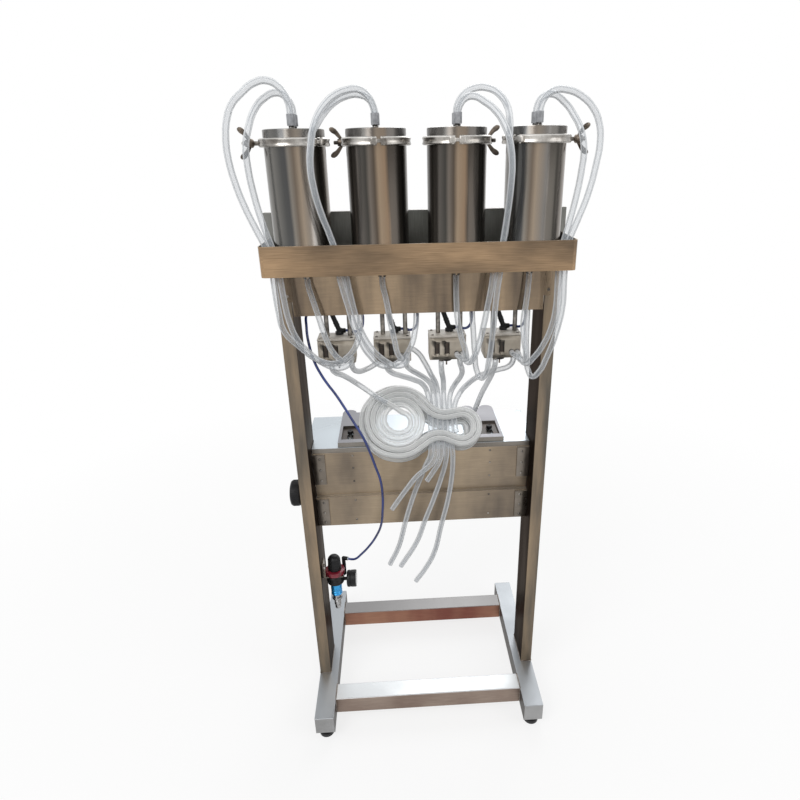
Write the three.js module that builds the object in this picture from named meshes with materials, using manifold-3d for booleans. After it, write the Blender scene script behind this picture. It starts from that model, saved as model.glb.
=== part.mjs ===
// A four-head pneumatic liquid filling machine on a floor stand: four lidded product
// cylinders in a tray, pinch valves under it, a bridge with guide plates, a hank of
// delivery hose and an air regulator. Millimetres, +Z up, front towards -Y. The origin
// is on the floor, midway between the foot rails and midway along them.
import * as THREE from 'three';
import { mergeVertices } from 'three/addons/utils/BufferGeometryUtils.js';
import Module from 'manifold-3d';

const wasm = await Module();
wasm.setup();

// Clearances and counts of sides
const seat_gap = 0.3;
const cut_over = 5;
const merge_tolerance = 0.05;
const round_sides = 20;
const middle_sides = 12;
const small_sides = 8;
const tube_sides = 8;

// Foot rails, cross rails and levelling feet
const frame_half = 300;
const foot_length = 480;
const foot_width = 50;
const foot_height = 52;
const foot_wall = 2.5;
const pad_radius = 19;
const pad_thickness = 9;
const pad_neck_radius = 10;
const pad_height = 25;
const foot_stud_radius = 5;
const foot_stud_rise = 22;
const foot_stud_clearance = 0.8;
const pad_inset = 25;
const rail_depth = 50;
const front_rail_y = -158;
const rear_rail_y = 159;

// Uprights
const upright_width = 30;
const upright_depth = 100;
const upright_front = -92;
const upright_wall = 2.5;

// Cylinder tray, back panel, valve panel and valve rail
const tray_bottom = 1205;
const tray_sheet = 2;
const tray_half = 309;
const tray_front = -178;
const tray_height = 59;
const tray_corner = 9;
const hose_hole_radius = 9;
const outlet_hole_radius = 13;
const back_panel_y = -45;
const back_panel_half = 318;
const back_panel_height = 106.5;
const back_flange = 13;
const valve_panel_half = 283;
const valve_panel_drop = 67.5;
const valve_panel_inset = 2;
const valve_panel_skirt = 31;
const valve_panel_sheet = 1.7;
const valve_rail_bottom = 1118;
const valve_rail_sheet = 3;
const valve_rail_rear = -30;
const valve_rail_lip = 20;

// Product cylinders, lids and lid clamps
const cylinder_pitch = 153;
const cylinder_y = -112;
const cylinder_radius = 57.2;
const cylinder_wall = 2;
const cylinder_height = 236;
const ferrule_radius = 59.5;
const ferrule_thickness = 3;
const outlet_radius = 8;
const outlet_bore = 5;
const outlet_drop = 15;
const gasket_thickness = 2;
const gasket_width = 4;
const lid_radius = 57;
const lid_wall = 3;
const lid_rise = 21;
const nipple_radius = 5.5;
const nipple_height = 5;
const nipple_spread = 16;
const clamp_outer = 66;
const clamp_margin = 3.5;
const clamp_lip = 2.7;
const clamp_split = 8;
const clamp_degrees = [135, 95, 85, 45];
const ear_depth = 16;
const ear_reach = 80;
const ear_height = 14;
const link_reach = 73;
const link_half = 15;
const link_height = 12;
const bolt_reach = 72;
const bolt_radius = 4;
const bolt_head = 5;
const bolt_head_half = 6;
const bolt_tail = 8;
const nut_starts = [44, 58, 58, 44];
const nut_hub_radius = 8;
const nut_hub_length = 14;
const nut_clearance = 0.3;
const wing_span = 28;
const wing_thickness = 5;
const wing_flare = 29;

// Pinch valves
const valve_pitch = 123;
const block_half = 41;
const block_front = -88;
const block_rear = -36;
const block_bottom = 995;
const block_top = 1052;
const block_edge = 5;
const slot_offsets = [-24, -2];
const slot_width = 9;
const slot_bottom = 1010;
const slot_top = 1037;
const slot_depth = 14;
const piston_y = -52;
const pinch_bar_half = 19;
const pinch_bar_centre = -13;
const pinch_bar_depth = 8;
const pinch_bar_height = 8;
const pinch_travel = 6;
const piston_clearance = 0.5;
const piston_stem_radius = 4;
const piston_pin_radius = 2;
const piston_pin_drop = 11;
const valve_cap_radius = 12;
const valve_cap_height = 12;
const supply_offsets = [20, 32.6];
const supply_z = 1010;
const outlet_places = [[-14, -76], [30, -60]];
const pillar_radius = 5;
const pillar_places = [[-20, -62], [30, -62]];
const riser_offset = 55;
const riser_y = -72;
const elbow_offset = 6;
const elbow_base_radius = 9;
const elbow_base_height = 14;
const elbow_arm_radius = 5.5;
const elbow_arm_reach = 14;
const elbow_barrel_shift = 16;
const elbow_barrel_rise = 44;

// Bridge between the uprights: two beams, shelf and guide plates
const beam_front = -42;
const beam_depth = 36;
const beam_sheet = 2;
const upper_beam_bottom = 657;
const upper_beam_top = 748;
const lower_beam_bottom = 536;
const lower_beam_top = 621;
const seam_depth = 12;
const bridge_gap = 0.4;
const end_plate_width = 31;
const end_plate_sheet = 3;
const end_plate_inset = 4;
const shelf_sheet = 3;
const shelf_fold = 12;
const shelf_rear = 146;
const shelf_rear_half = 285;
const guide_centre = 160;
const guide_half = 45;
const guide_front = -38;
const guide_rear = 160;
const guide_thickness = 12;
const guide_notch_half = 8;
const guide_notch_depth = 19;
const guide_travel = 30;
const window_centre = 161.5;
const window_half = 36.5;
const window_front = -20;
const window_rear = 57;
const guide_screw_x = 177;
const guide_screw_y = 18;
const guide_screw_radius = 7;
const guide_screw_height = 8;

// Hand knob on the left upright
const knob_radius = 33;
const knob_length = 30;
const knob_rim = 6;
const knob_y = -45;
const knob_z = 641;
const knob_stud_radius = 5;
const knob_stud_length = 24;
const knob_stud_clearance = 0.6;

// Air regulator with its gauge and hand slide valve
const regulator_x = -239;
const regulator_y = -50;
const regulator_radius = 23;
const regulator_bottom = 361;
const regulator_top = 387;
const regulator_neck = 14;
const lock_ring_radius = 26;
const lock_ring_height = 14;
const knob_cap_radius = 18;
const knob_cap_height = 42;
const bracket_sheet = 2.5;
const bracket_half = 17;
const bracket_rise = 41;
const bracket_bolt_radius = 4;
const bracket_bolt_inset = 12;
const gauge_radius = 22.5;
const gauge_thickness = 25;
const gauge_z = 369;
const gauge_start = -208.5;
const gauge_dish = 4;
const gauge_rim = 2.5;
const gauge_stem_radius = 5;
const needle_length = 15;
const needle_tail = 4;
const needle_half = 1;
const needle_thickness = 1;
const needle_hub_radius = 2.5;
const needle_post_radius = 1;
const needle_clearance = 0.3;
const needle_zero_degrees = 45;
const air_post_x = -216.5;
const air_post_y = -26.5;
const air_post_radius = 5;
const air_post_bottom = 368;
const air_post_top = 424;
const air_arm_end = [-203, -30, 418];
const slide_valve_radius = 10.5;
const slide_valve_bottom = 308;
const slide_stop_radius = 14;
const slide_stop = 4;
const sleeve_radius = 15;
const sleeve_length = 34;
const sleeve_travel = 9;
const sleeve_clearance = 0.3;
const coupler_radius = 9;
const coupler_length = 36;
const coupler_groove = 2;

// Hoses and air tubes
const hose_radius = 6.3;
const hose_step = 42;
const air_tube_radius = 3;
const air_tube_step = 28;

// Hank of delivery hose: a dumbbell of nested loops in four layers, leaning on the guides
const hank_lean_degrees = 48;
const hank_centre_x = 52;
const hank_centre_rise = 21;
const hank_tilt_degrees = -8;
const hank_left_radius = 56;
const hank_right_radius = 16;
const hank_neck_radius = 80;
const hank_neck_half = 5.5;
const hank_pitch = 13.6;
const hank_layer_pitch = 13.2;
const hank_slot = 13.8;
const hank_seat = 0.35;
const hank_loops = 9.5;
const hank_steps = 24;
const hank_sides = 6;
const hank_climb_steps = 9;
const coil_turns = 2;
const coil_gap = 13.7;
const coil_end_radius = 19.5;
const coil_end_degrees = 68;
const coil_exit = [[10, 3.6], [20, 10.6], [31, 14], [42, 14.4]];

// Derived levels and places
const foot_bottom = pad_height + seat_gap;
const foot_top = foot_bottom + foot_height;
const foot_inner = frame_half - foot_width;
const foot_half = foot_length / 2;
const upright_inner = frame_half - upright_width;
const upright_rear = upright_front + upright_depth;
const upright_top = tray_bottom - seat_gap;
const tray_floor = tray_bottom + tray_sheet;
const tray_top = tray_bottom + tray_height;
const cylinder_base = tray_floor + seat_gap;
const cylinder_top = cylinder_base + cylinder_height;
const gasket_bottom = cylinder_top + seat_gap;
const lid_bottom = gasket_bottom + gasket_thickness;
const lid_top = lid_bottom + lid_rise;
const clamp_bottom = cylinder_top - ferrule_thickness - clamp_margin;
const clamp_top = lid_bottom + ferrule_thickness + clamp_margin;
const clamp_z = (clamp_bottom + clamp_top) / 2;
const valve_panel_y = upright_front - seat_gap - valve_panel_sheet;
const valve_rail_front = upright_front + seat_gap;
const beam_reach = upright_inner - bridge_gap;
const shelf_top = upper_beam_top + seat_gap + shelf_fold;
const guide_bottom = shelf_top + seat_gap;
const guide_top = guide_bottom + guide_thickness;
const cylinder_shares = [-1.5, -0.5, 0.5, 1.5];
const cylinder_xs = cylinder_shares.map((share) => share * cylinder_pitch);
const valve_xs = cylinder_shares.map((share) => share * valve_pitch);
const clamp_turns = [-1, -1, 1, 1];

// Colour, roughness and metalness of each finish
const finishes = {
  brushed: [0x9a8c7c, 0.38, 1],
  satin: [0xc8cdd0, 0.4, 1],
  dark_sheet: [0x4b4b48, 0.5, 0.9],
  polished: [0xb5b0a8, 0.15, 1],
  steel: [0xb0b0ae, 0.3, 1],
  moulded: [0xafa392, 0.55, 0],
  black_plastic: [0x1c1c1e, 0.45, 0],
  rubber: [0x181818, 0.85, 0],
  red_plastic: [0xa82840, 0.4, 0],
  white: [0xf0f0f0, 0.5, 0],
  blue_metal: [0x1478be, 0.25, 1],
  blue_tube: [0x23326e, 0.35, 0],
  hose: [0xd6dbde, 0.35, 0],
};

const root = new THREE.Group();
const quarter = Math.PI / 2;
const up = new THREE.Vector3(0, 0, 1);

// Ranges: about a centre, from a start, and on one side of the middle plane
const around = (centre, size) => [centre - size / 2, centre + size / 2];
const from = (start, length) => [start, start + length];
const sided = ([near, far], side) => (side > 0 ? [near, far] : [-far, -near]);

// Makes a solid, facing out, of a closed geometry's positions.
function solid(source) {
  const bare = source.index ? source.toNonIndexed() : source.clone();
  for (const name of Object.keys(bare.attributes)) {
    if (name !== 'position') bare.deleteAttribute(name);
  }
  const merged = mergeVertices(bare);
  const points = merged.getAttribute('position');
  const index = merged.getIndex().array;
  const corners = [0, 1, 2].map(() => new THREE.Vector3());
  const faces = [];
  let volume = 0;
  for (let i = 0; i < index.length; i += 3) {
    const face = [index[i], index[i + 1], index[i + 2]];
    if (new Set(face).size < 3) continue;
    face.forEach((vertex, k) => corners[k].fromBufferAttribute(points, vertex));
    volume += corners[0].dot(corners[1].clone().cross(corners[2]));
    faces.push(face);
  }
  const outward = volume < 0 ? faces.map(([a, b, c]) => [a, c, b]) : faces;
  return new wasm.Manifold(new wasm.Mesh({
    numProp: 3,
    vertProperties: new Float32Array(points.array),
    triVerts: new Uint32Array(outward.flat()),
  }));
}

const joined = (...pieces) => pieces.flat().reduce((whole, piece) => whole.add(piece));
const cut = (body, ...tools) => tools.flat().reduce((left, tool) => left.subtract(tool), body);

// Adds one named piece to the machine.
function add(name, body, finish) {
  const { vertProperties, triVerts } = body.simplify(merge_tolerance).getMesh();
  const geometry = new THREE.BufferGeometry();
  geometry.setAttribute('position', new THREE.BufferAttribute(vertProperties, 3));
  geometry.setIndex(new THREE.BufferAttribute(triVerts, 1));
  geometry.computeVertexNormals();
  const [color, roughness, metalness] = finishes[finish];
  const mesh = new THREE.Mesh(geometry, new THREE.MeshStandardMaterial({ color, roughness, metalness }));
  mesh.name = name;
  root.add(mesh);
}

// A block between three ranges.
function block(x, y, z) {
  const geometry = new THREE.BoxGeometry(x[1] - x[0], y[1] - y[0], z[1] - z[0]);
  geometry.translate((x[0] + x[1]) / 2, (y[0] + y[1]) / 2, (z[0] + z[1]) / 2);
  return solid(geometry);
}

// A round bar between two points.
function bar(radius, start, end, sides = small_sides) {
  const [a, b] = [start, end].map((point) => new THREE.Vector3(...point));
  const geometry = new THREE.CylinderGeometry(radius, radius, a.distanceTo(b), sides);
  const turn = new THREE.Quaternion().setFromUnitVectors(new THREE.Vector3(0, 1, 0), b.clone().sub(a).normalize());
  geometry.applyQuaternion(turn);
  geometry.translate(...a.add(b).divideScalar(2).toArray());
  return solid(geometry);
}

// A turned piece: a profile of [radius, distance] pairs about an axis along z or x.
function turned(profile, place, sides = round_sides, axis = 'z') {
  const geometry = new THREE.LatheGeometry(profile.map(([r, h]) => new THREE.Vector2(r, h)), sides);
  if (axis === 'z') geometry.rotateX(quarter);
  if (axis === 'x') geometry.rotateZ(-quarter);
  geometry.translate(...place);
  return solid(geometry);
}

// A flat plate cut to an outline in X and Y.
function plate(outline, z) {
  const shape = new THREE.Shape(outline.map(([x, y]) => new THREE.Vector2(x, y)));
  const geometry = new THREE.ExtrudeGeometry(shape, { depth: z[1] - z[0], bevelEnabled: false });
  geometry.translate(0, 0, z[0]);
  return solid(geometry);
}

// A flexible tube along its route.
function tube(route, radius, step) {
  const curve = new THREE.CatmullRomCurve3(route.map((point) => new THREE.Vector3(...point)));
  const section = new THREE.Shape(Array.from({ length: tube_sides }, (_, k) => {
    const angle = (k + 0.5) * 2 * Math.PI / tube_sides;
    return new THREE.Vector2(radius * Math.cos(angle), radius * Math.sin(angle));
  }));
  const steps = Math.round(curve.getLength() / step);
  return solid(new THREE.ExtrudeGeometry(section, { steps, bevelEnabled: false, extrudePath: curve }));
}

// Levelling feet: a pad, a neck and a stud that stands up into the foot rail.
const pad_x = frame_half - foot_width / 2;
const pad_y = foot_half - pad_inset;
[[-1, -1], [1, -1], [-1, 1], [1, 1]].forEach(([side, end], k) => add(`levelling_foot_${k + 1}`, turned([
  [0, 0],
  [pad_radius, 0],
  [pad_radius, pad_thickness],
  [pad_neck_radius, pad_thickness],
  [pad_neck_radius, pad_height],
  [foot_stud_radius, pad_height],
  [foot_stud_radius, pad_height + foot_stud_rise],
  [0, pad_height + foot_stud_rise],
], [side * pad_x, end * pad_y, 0], middle_sides), 'rubber'));

// Foot rails: box tubes with welded ends, drilled underneath for the levelling studs.
function footRail(side) {
  const outer = block(sided([foot_inner, frame_half], side), [-foot_half, foot_half], from(foot_bottom, foot_height));
  const bore = block(
    sided([foot_inner + foot_wall, frame_half - foot_wall], side),
    [-foot_half + foot_wall, foot_half - foot_wall],
    [foot_bottom + foot_wall, foot_top - foot_wall],
  );
  const holes = [-1, 1].map((end) => bar(
    foot_stud_radius + foot_stud_clearance,
    [side * pad_x, end * pad_y, foot_bottom - cut_over],
    [side * pad_x, end * pad_y, foot_bottom + foot_wall + cut_over],
  ));
  return cut(outer, bore, holes);
}
add('left_foot_rail', footRail(-1), 'satin');
add('right_foot_rail', footRail(1), 'satin');

// Cross rails: box tubes between the foot rails.
function crossRail(y) {
  const top = foot_top;
  const outer = block([-foot_inner + seat_gap, foot_inner - seat_gap], around(y, rail_depth), [top - rail_depth, top]);
  const bore = block(
    [-foot_inner, foot_inner],
    around(y, rail_depth - 2 * foot_wall),
    [top - rail_depth + foot_wall, top - foot_wall],
  );
  return cut(outer, bore);
}
add('front_cross_rail', crossRail(front_rail_y), 'satin');
add('rear_cross_rail', crossRail(rear_rail_y), 'satin');

// Uprights: box tubes from the foot rails to the tray; the left one is drilled for the
// hand knob's stud and for the bolt of the regulator's bracket.
const bracket_bolt_z = regulator_top + bracket_rise - bracket_bolt_inset;
function upright(side) {
  const outer = block(
    sided([upright_inner, frame_half], side),
    from(upright_front, upright_depth),
    [foot_top + seat_gap, upright_top],
  );
  const bore = block(
    sided([upright_inner + upright_wall, frame_half - upright_wall], side),
    [upright_front + upright_wall, upright_rear - upright_wall],
    [foot_top, tray_bottom],
  );
  return cut(outer, bore);
}
add('left_upright', cut(
  upright(-1),
  bar(
    knob_stud_radius + knob_stud_clearance,
    [-frame_half - cut_over, knob_y, knob_z],
    [-frame_half + upright_wall + cut_over, knob_y, knob_z],
  ),
  bar(
    bracket_bolt_radius + knob_stud_clearance,
    [-frame_half - cut_over, regulator_y, bracket_bolt_z],
    [-upright_inner + cut_over, regulator_y, bracket_bolt_z],
  ),
), 'brushed');
add('right_upright', upright(1), 'brushed');

// Tray: folded sheet on the uprights, with holes for the lid hoses and the outlets.
const hose_holes = [
  [-289.2, -157], [-276.7, -156.5], [-160.5, -158], [-148, -155.5],
  [160.5, -158], [148, -155.5], [291.2, -157], [278.7, -156.5],
];
const corner_share = 0.3;
const trayOutline = (half, front, corner, rear) => [-1, 1].flatMap((side) => {
  const points = [
    [side * half, rear],
    [side * half, front + corner],
    [side * (half - corner * corner_share), front + corner * corner_share],
    [side * (half - corner), front],
  ];
  return side < 0 ? points : points.reverse();
});
const floorHole = (x, y, radius) => bar(radius, [x, y, tray_bottom - cut_over], [x, y, tray_floor + cut_over]);
add('cylinder_tray', cut(
  plate(trayOutline(tray_half, tray_front, tray_corner, upright_rear), [tray_bottom, tray_top]),
  plate(
    trayOutline(tray_half - tray_sheet, tray_front + tray_sheet, tray_corner - tray_sheet, upright_rear + cut_over),
    [tray_floor, tray_top + cut_over],
  ),
  block(
    [-tray_half - cut_over, tray_half + cut_over],
    [back_panel_y, upright_rear + cut_over],
    [tray_floor, tray_top + cut_over],
  ),
  hose_holes.map(([x, y]) => floorHole(x, y, hose_hole_radius)),
  cylinder_xs.map((x) => floorHole(x, cylinder_y, outlet_hole_radius)),
), 'brushed');

// Back panel: a sheet on the tray's floor behind the cylinders, flanged at the top.
const back_bottom = tray_floor + seat_gap;
const back_top = back_bottom + back_panel_height;
const back_y = back_panel_y + seat_gap;
const back_span = [-back_panel_half, back_panel_half];
add('back_panel', joined(
  block(back_span, from(back_y, tray_sheet), [back_bottom, back_top]),
  block(back_span, from(back_y, back_flange), [back_top - tray_sheet, back_top]),
  block([-tray_half, tray_half], from(back_y, back_flange), from(back_bottom, tray_sheet)),
), 'dark_sheet');

// Valve panel: a sheet on the uprights' front faces with a skirt between them.
const valve_panel_bottom = upright_top - valve_panel_drop;
const skirt_half = upright_inner - valve_panel_inset;
add('valve_panel', joined(
  block(
    [-valve_panel_half, valve_panel_half],
    from(valve_panel_y, valve_panel_sheet),
    [valve_panel_bottom, upright_top],
  ),
  block(
    [-skirt_half, skirt_half],
    from(valve_panel_y, valve_panel_sheet),
    [valve_panel_bottom - valve_panel_skirt, upright_top - valve_panel_sheet],
  ),
), 'brushed');

// Valve rail: an angle between the uprights, with the pillars that hold the valve blocks
// and a nipple beside each block.
const rail_half = upright_inner - seat_gap;
add('valve_rail', joined(
  block([-rail_half, rail_half], [valve_rail_front, valve_rail_rear], from(valve_rail_bottom, valve_rail_sheet)),
  block([-rail_half, rail_half], from(valve_rail_front, valve_rail_sheet), from(valve_rail_bottom, valve_rail_lip)),
  valve_xs.flatMap((x) => pillar_places.map(([dx, y]) => bar(
    pillar_radius,
    [x + dx, y, block_top + seat_gap],
    [x + dx, y, valve_rail_bottom + valve_rail_sheet / 2],
  ))),
  valve_xs.map((x) => bar(
    nipple_radius,
    [x + riser_offset, riser_y, valve_rail_bottom - nipple_height],
    [x + riser_offset, riser_y, valve_rail_bottom + valve_rail_sheet / 2],
  )),
), 'steel');

// Product cylinders: open at the ferrule, with an outlet stub down through the tray.
cylinder_xs.forEach((x, n) => add(`cylinder_${n + 1}`, turned([
  [outlet_bore, tray_bottom - outlet_drop],
  [outlet_radius, tray_bottom - outlet_drop],
  [outlet_radius, cylinder_base],
  [cylinder_radius, cylinder_base],
  [cylinder_radius, cylinder_top - ferrule_thickness],
  [ferrule_radius, cylinder_top - ferrule_thickness],
  [ferrule_radius, cylinder_top],
  [cylinder_radius - cylinder_wall, cylinder_top],
  [cylinder_radius - cylinder_wall, cylinder_base + cylinder_wall],
  [outlet_bore, cylinder_base + cylinder_wall],
  [outlet_bore, tray_bottom - outlet_drop],
], [x, cylinder_y, 0]), 'polished'));

// Lids: flanged caps with their gasket seated underneath and two hose nipples on top.
cylinder_xs.forEach((x, n) => add(`lid_${n + 1}`, joined(
  turned([
    [0, lid_top],
    [lid_radius, lid_top],
    [lid_radius, lid_bottom + ferrule_thickness],
    [ferrule_radius, lid_bottom + ferrule_thickness],
    [ferrule_radius, gasket_bottom],
    [ferrule_radius - gasket_width, gasket_bottom],
    [ferrule_radius - gasket_width, lid_bottom],
    [lid_radius - lid_wall, lid_bottom],
    [lid_radius - lid_wall, lid_top - lid_wall],
    [0, lid_top - lid_wall],
  ], [x, cylinder_y, 0]),
  [-1, 1].map((end) => bar(
    nipple_radius,
    [x, cylinder_y + end * nipple_spread, lid_top - lid_wall / 2],
    [x, cylinder_y + end * nipple_spread, lid_top + nipple_height],
  )),
), 'polished'));

// Directions of a clamp: out from its cylinder towards the bolt, along the bolt, and up.
function clampFrame(n) {
  const angle = THREE.MathUtils.degToRad(clamp_degrees[n]);
  const out = new THREE.Vector3(Math.cos(angle), Math.sin(angle), 0);
  const along = out.clone().cross(up).multiplyScalar(clamp_turns[n]);
  const centre = new THREE.Vector3(cylinder_xs[n], cylinder_y, clamp_z);
  const at = (radial, tangent, rise = 0) => centre.clone()
    .addScaledVector(out, radial)
    .addScaledVector(along, tangent)
    .addScaledVector(up, rise)
    .toArray();
  return { out, along, at };
}

// A block between ranges in a clamp's own directions.
function clampBlock(n, radial, tangent, height) {
  const { out, along, at } = clampFrame(n);
  const geometry = new THREE.BoxGeometry(radial[1] - radial[0], tangent[1] - tangent[0], height);
  geometry.applyMatrix4(new THREE.Matrix4().makeBasis(out, along, out.clone().cross(along)));
  geometry.translate(...at((radial[0] + radial[1]) / 2, (tangent[0] + tangent[1]) / 2));
  return solid(geometry);
}

// Lid clamps: two grooved half rings, linked in front, with ears and the swing bolt behind.
const groove_radius = ferrule_radius + seat_gap;
const groove_bottom = cylinder_top - ferrule_thickness - seat_gap;
const groove_top = lid_bottom + ferrule_thickness + seat_gap;
const clamp_inner = cylinder_radius + seat_gap;
const split_half = clamp_split / 2;
const ear_face = split_half + ear_depth;
const clamp_height = clamp_top - clamp_bottom;
[0, 1, 2, 3].forEach((n) => {
  const { at } = clampFrame(n);
  const ring = turned([
    [clamp_inner + clamp_lip, clamp_bottom],
    [clamp_outer, clamp_bottom],
    [clamp_outer, clamp_top],
    [clamp_inner + clamp_lip, clamp_top],
    [clamp_inner, groove_top],
    [groove_radius, groove_top],
    [groove_radius, groove_bottom],
    [clamp_inner, groove_bottom],
    [clamp_inner + clamp_lip, clamp_bottom],
  ], [cylinder_xs[n], cylinder_y, 0]);
  const ears = [-1, 1].map((end) => clampBlock(
    n,
    [groove_radius + clamp_lip, ear_reach],
    sided([split_half, ear_face], end),
    ear_height,
  ));
  const link = clampBlock(n, [-link_reach, -groove_radius - clamp_lip], [-link_half, link_half], link_height);
  const split = clampBlock(
    n,
    [-clamp_outer - cut_over, ear_reach + cut_over],
    [-split_half, split_half],
    clamp_height + cut_over,
  );
  const head = clampBlock(
    n,
    around(bolt_reach, 2 * bolt_head_half),
    [-ear_face - bolt_head, -ear_face + seat_gap],
    2 * bolt_head_half,
  );
  const bolt_end = nut_starts[n] + nut_hub_length + bolt_tail;
  const bolt = bar(bolt_radius, at(bolt_reach, -ear_face), at(bolt_reach, bolt_end));
  add(`lid_clamp_${n + 1}`, joined(cut(joined(ring, ears), split), link, head, bolt), 'polished');
});

// Wing nuts: a hub on the bolt with two flared wings, upright at rest.
const bolt_bore = (bolt_radius + nut_clearance) / Math.cos(Math.PI / small_sides);
const wing_shares = [[0.15, 0.1], [0.5, 0.12], [0.7, 0.5], [1, 0.75], [0.92, 0.95], [0.6, 1], [0.35, 0.7]];
[0, 1, 2, 3].forEach((n) => {
  const { at, along } = clampFrame(n);
  const start = nut_starts[n];
  const hub = bar(nut_hub_radius, at(bolt_reach, start), at(bolt_reach, start + nut_hub_length), middle_sides);
  const bore = bar(bolt_bore, at(bolt_reach, start - cut_over), at(bolt_reach, start + wing_flare + cut_over));
  const wings = [1, -1].map((end) => {
    const outline = wing_shares.map(([t, h]) => new THREE.Vector2(t * wing_flare, h * wing_span));
    const geometry = new THREE.ExtrudeGeometry(
      new THREE.Shape(outline),
      { depth: wing_thickness, bevelEnabled: false },
    );
    geometry.translate(0, 0, -wing_thickness / 2);
    const rise = up.clone().multiplyScalar(end);
    geometry.applyMatrix4(new THREE.Matrix4().makeBasis(along, rise, along.clone().cross(rise)));
    geometry.translate(...at(bolt_reach, start));
    return solid(geometry);
  });
  add(`wing_nut_${n + 1}`, cut(joined(hub, wings), bore), 'steel');
});

// Pinch valve blocks: moulded, slotted in front, with nipples, cap and air elbow.
const bar_rear = block_front + slot_depth;
const cavity_rear = piston_y + piston_stem_radius + piston_clearance;
const elbow_top = block_top + elbow_base_height;
function valveBlock(x) {
  const body = block(around(x, 2 * block_half), [block_front, block_rear], [block_bottom, block_top]);
  const corners = [-1, 1].map((side) => plate([
    [x + side * (block_half + cut_over), block_front - cut_over],
    [x + side * (block_half - block_edge), block_front - cut_over],
    [x + side * (block_half - block_edge), block_front],
    [x + side * block_half, block_front + block_edge],
    [x + side * (block_half + cut_over), block_front + block_edge],
  ], [block_bottom - cut_over, block_top + cut_over]));
  const slots = slot_offsets.map((dx) => block(
    around(x + dx, slot_width),
    [block_front - cut_over, bar_rear],
    [slot_bottom, slot_top],
  ));
  const bar_cavity = block(
    around(x + pinch_bar_centre, 2 * (pinch_bar_half + piston_clearance)),
    [bar_rear - pinch_bar_depth - piston_clearance, bar_rear + piston_clearance],
    [slot_bottom, slot_top],
  );
  const arm_cavity = block(
    around(x, 2 * (piston_stem_radius + piston_clearance)),
    [bar_rear, cavity_rear],
    [slot_bottom, slot_top],
  );
  const pin_bore = bar(
    piston_pin_radius + piston_clearance,
    [x, piston_y, block_bottom - valve_cap_height - cut_over],
    [x, piston_y, slot_bottom + cut_over],
  );
  const cap = bar(
    valve_cap_radius,
    [x, piston_y, block_bottom - valve_cap_height],
    [x, piston_y, block_bottom + cut_over],
    middle_sides,
  );
  const nipples = [
    ...supply_offsets.map((dx) => bar(
      nipple_radius,
      [x + dx, block_front - nipple_height, supply_z],
      [x + dx, block_front + nipple_height, supply_z],
    )),
    ...outlet_places.map(([dx, y]) => bar(
      nipple_radius,
      [x + dx, y, block_bottom - nipple_height],
      [x + dx, y, block_bottom + nipple_height],
    )),
  ];
  const elbow_x = x + elbow_offset;
  const elbow = [
    bar(elbow_base_radius, [elbow_x, piston_y, block_top - nipple_height], [elbow_x, piston_y, elbow_top]),
    bar(
      elbow_arm_radius,
      [elbow_x, piston_y, elbow_top - elbow_arm_radius],
      [elbow_x + elbow_arm_reach, piston_y, elbow_top - elbow_arm_radius],
    ),
    bar(
      elbow_arm_radius,
      [elbow_x, piston_y, elbow_top - elbow_arm_radius],
      [elbow_x - elbow_barrel_shift, piston_y, elbow_top - elbow_arm_radius + elbow_barrel_rise],
    ),
  ];
  return cut(joined(cut(body, corners), cap, nipples, elbow), slots, bar_cavity, arm_cavity, pin_bore);
}
valve_xs.forEach((x, n) => add(`valve_block_${n + 1}`, valveBlock(x), 'moulded'));

// Pinch pistons: a bar behind the slots, an arm back to the stem, and the pin below the cap.
const pinch_bar_top = slot_top - piston_clearance;
const pinch_bar_z = [pinch_bar_top - pinch_bar_height, pinch_bar_top];
valve_xs.forEach((x, n) => add(`pinch_piston_${n + 1}`, joined(
  block(around(x + pinch_bar_centre, 2 * pinch_bar_half), [bar_rear - pinch_bar_depth, bar_rear], pinch_bar_z),
  block(around(x, 2 * piston_stem_radius), [bar_rear - piston_stem_radius, piston_y], pinch_bar_z),
  bar(piston_stem_radius, [x, piston_y, slot_bottom + pinch_travel + piston_clearance], [x, piston_y, pinch_bar_top]),
  bar(
    piston_pin_radius,
    [x, piston_y, block_bottom - valve_cap_height - piston_pin_drop],
    [x, piston_y, pinch_bar_top - piston_clearance],
    tube_sides,
  ),
), 'steel'));

// Bridge beams: folded channels, open behind, with an end plate by each upright. The
// lower beam's seam flange stands up behind the upper beam's front.
const span = [-beam_reach, beam_reach];
function beam(bottom, top) {
  const channel = cut(
    block(span, from(beam_front, beam_depth), [bottom, top]),
    block(
      [-beam_reach - cut_over, beam_reach + cut_over],
      [beam_front + beam_sheet, beam_front + beam_depth + cut_over],
      [bottom + beam_sheet, top - beam_sheet],
    ),
  );
  const plates = [-1, 1].map((side) => block(
    sided([beam_reach - end_plate_width, beam_reach], side),
    [beam_front - end_plate_sheet, beam_front + beam_sheet / 2],
    [bottom + end_plate_inset, top - end_plate_inset],
  ));
  return joined(channel, plates);
}
add('upper_beam', beam(upper_beam_bottom, upper_beam_top), 'brushed');
add('lower_beam', joined(
  beam(lower_beam_bottom, lower_beam_top),
  block(
    span,
    from(beam_front + seam_depth, beam_sheet),
    [lower_beam_top - beam_sheet, upper_beam_bottom - seat_gap],
  ),
), 'brushed');

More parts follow.
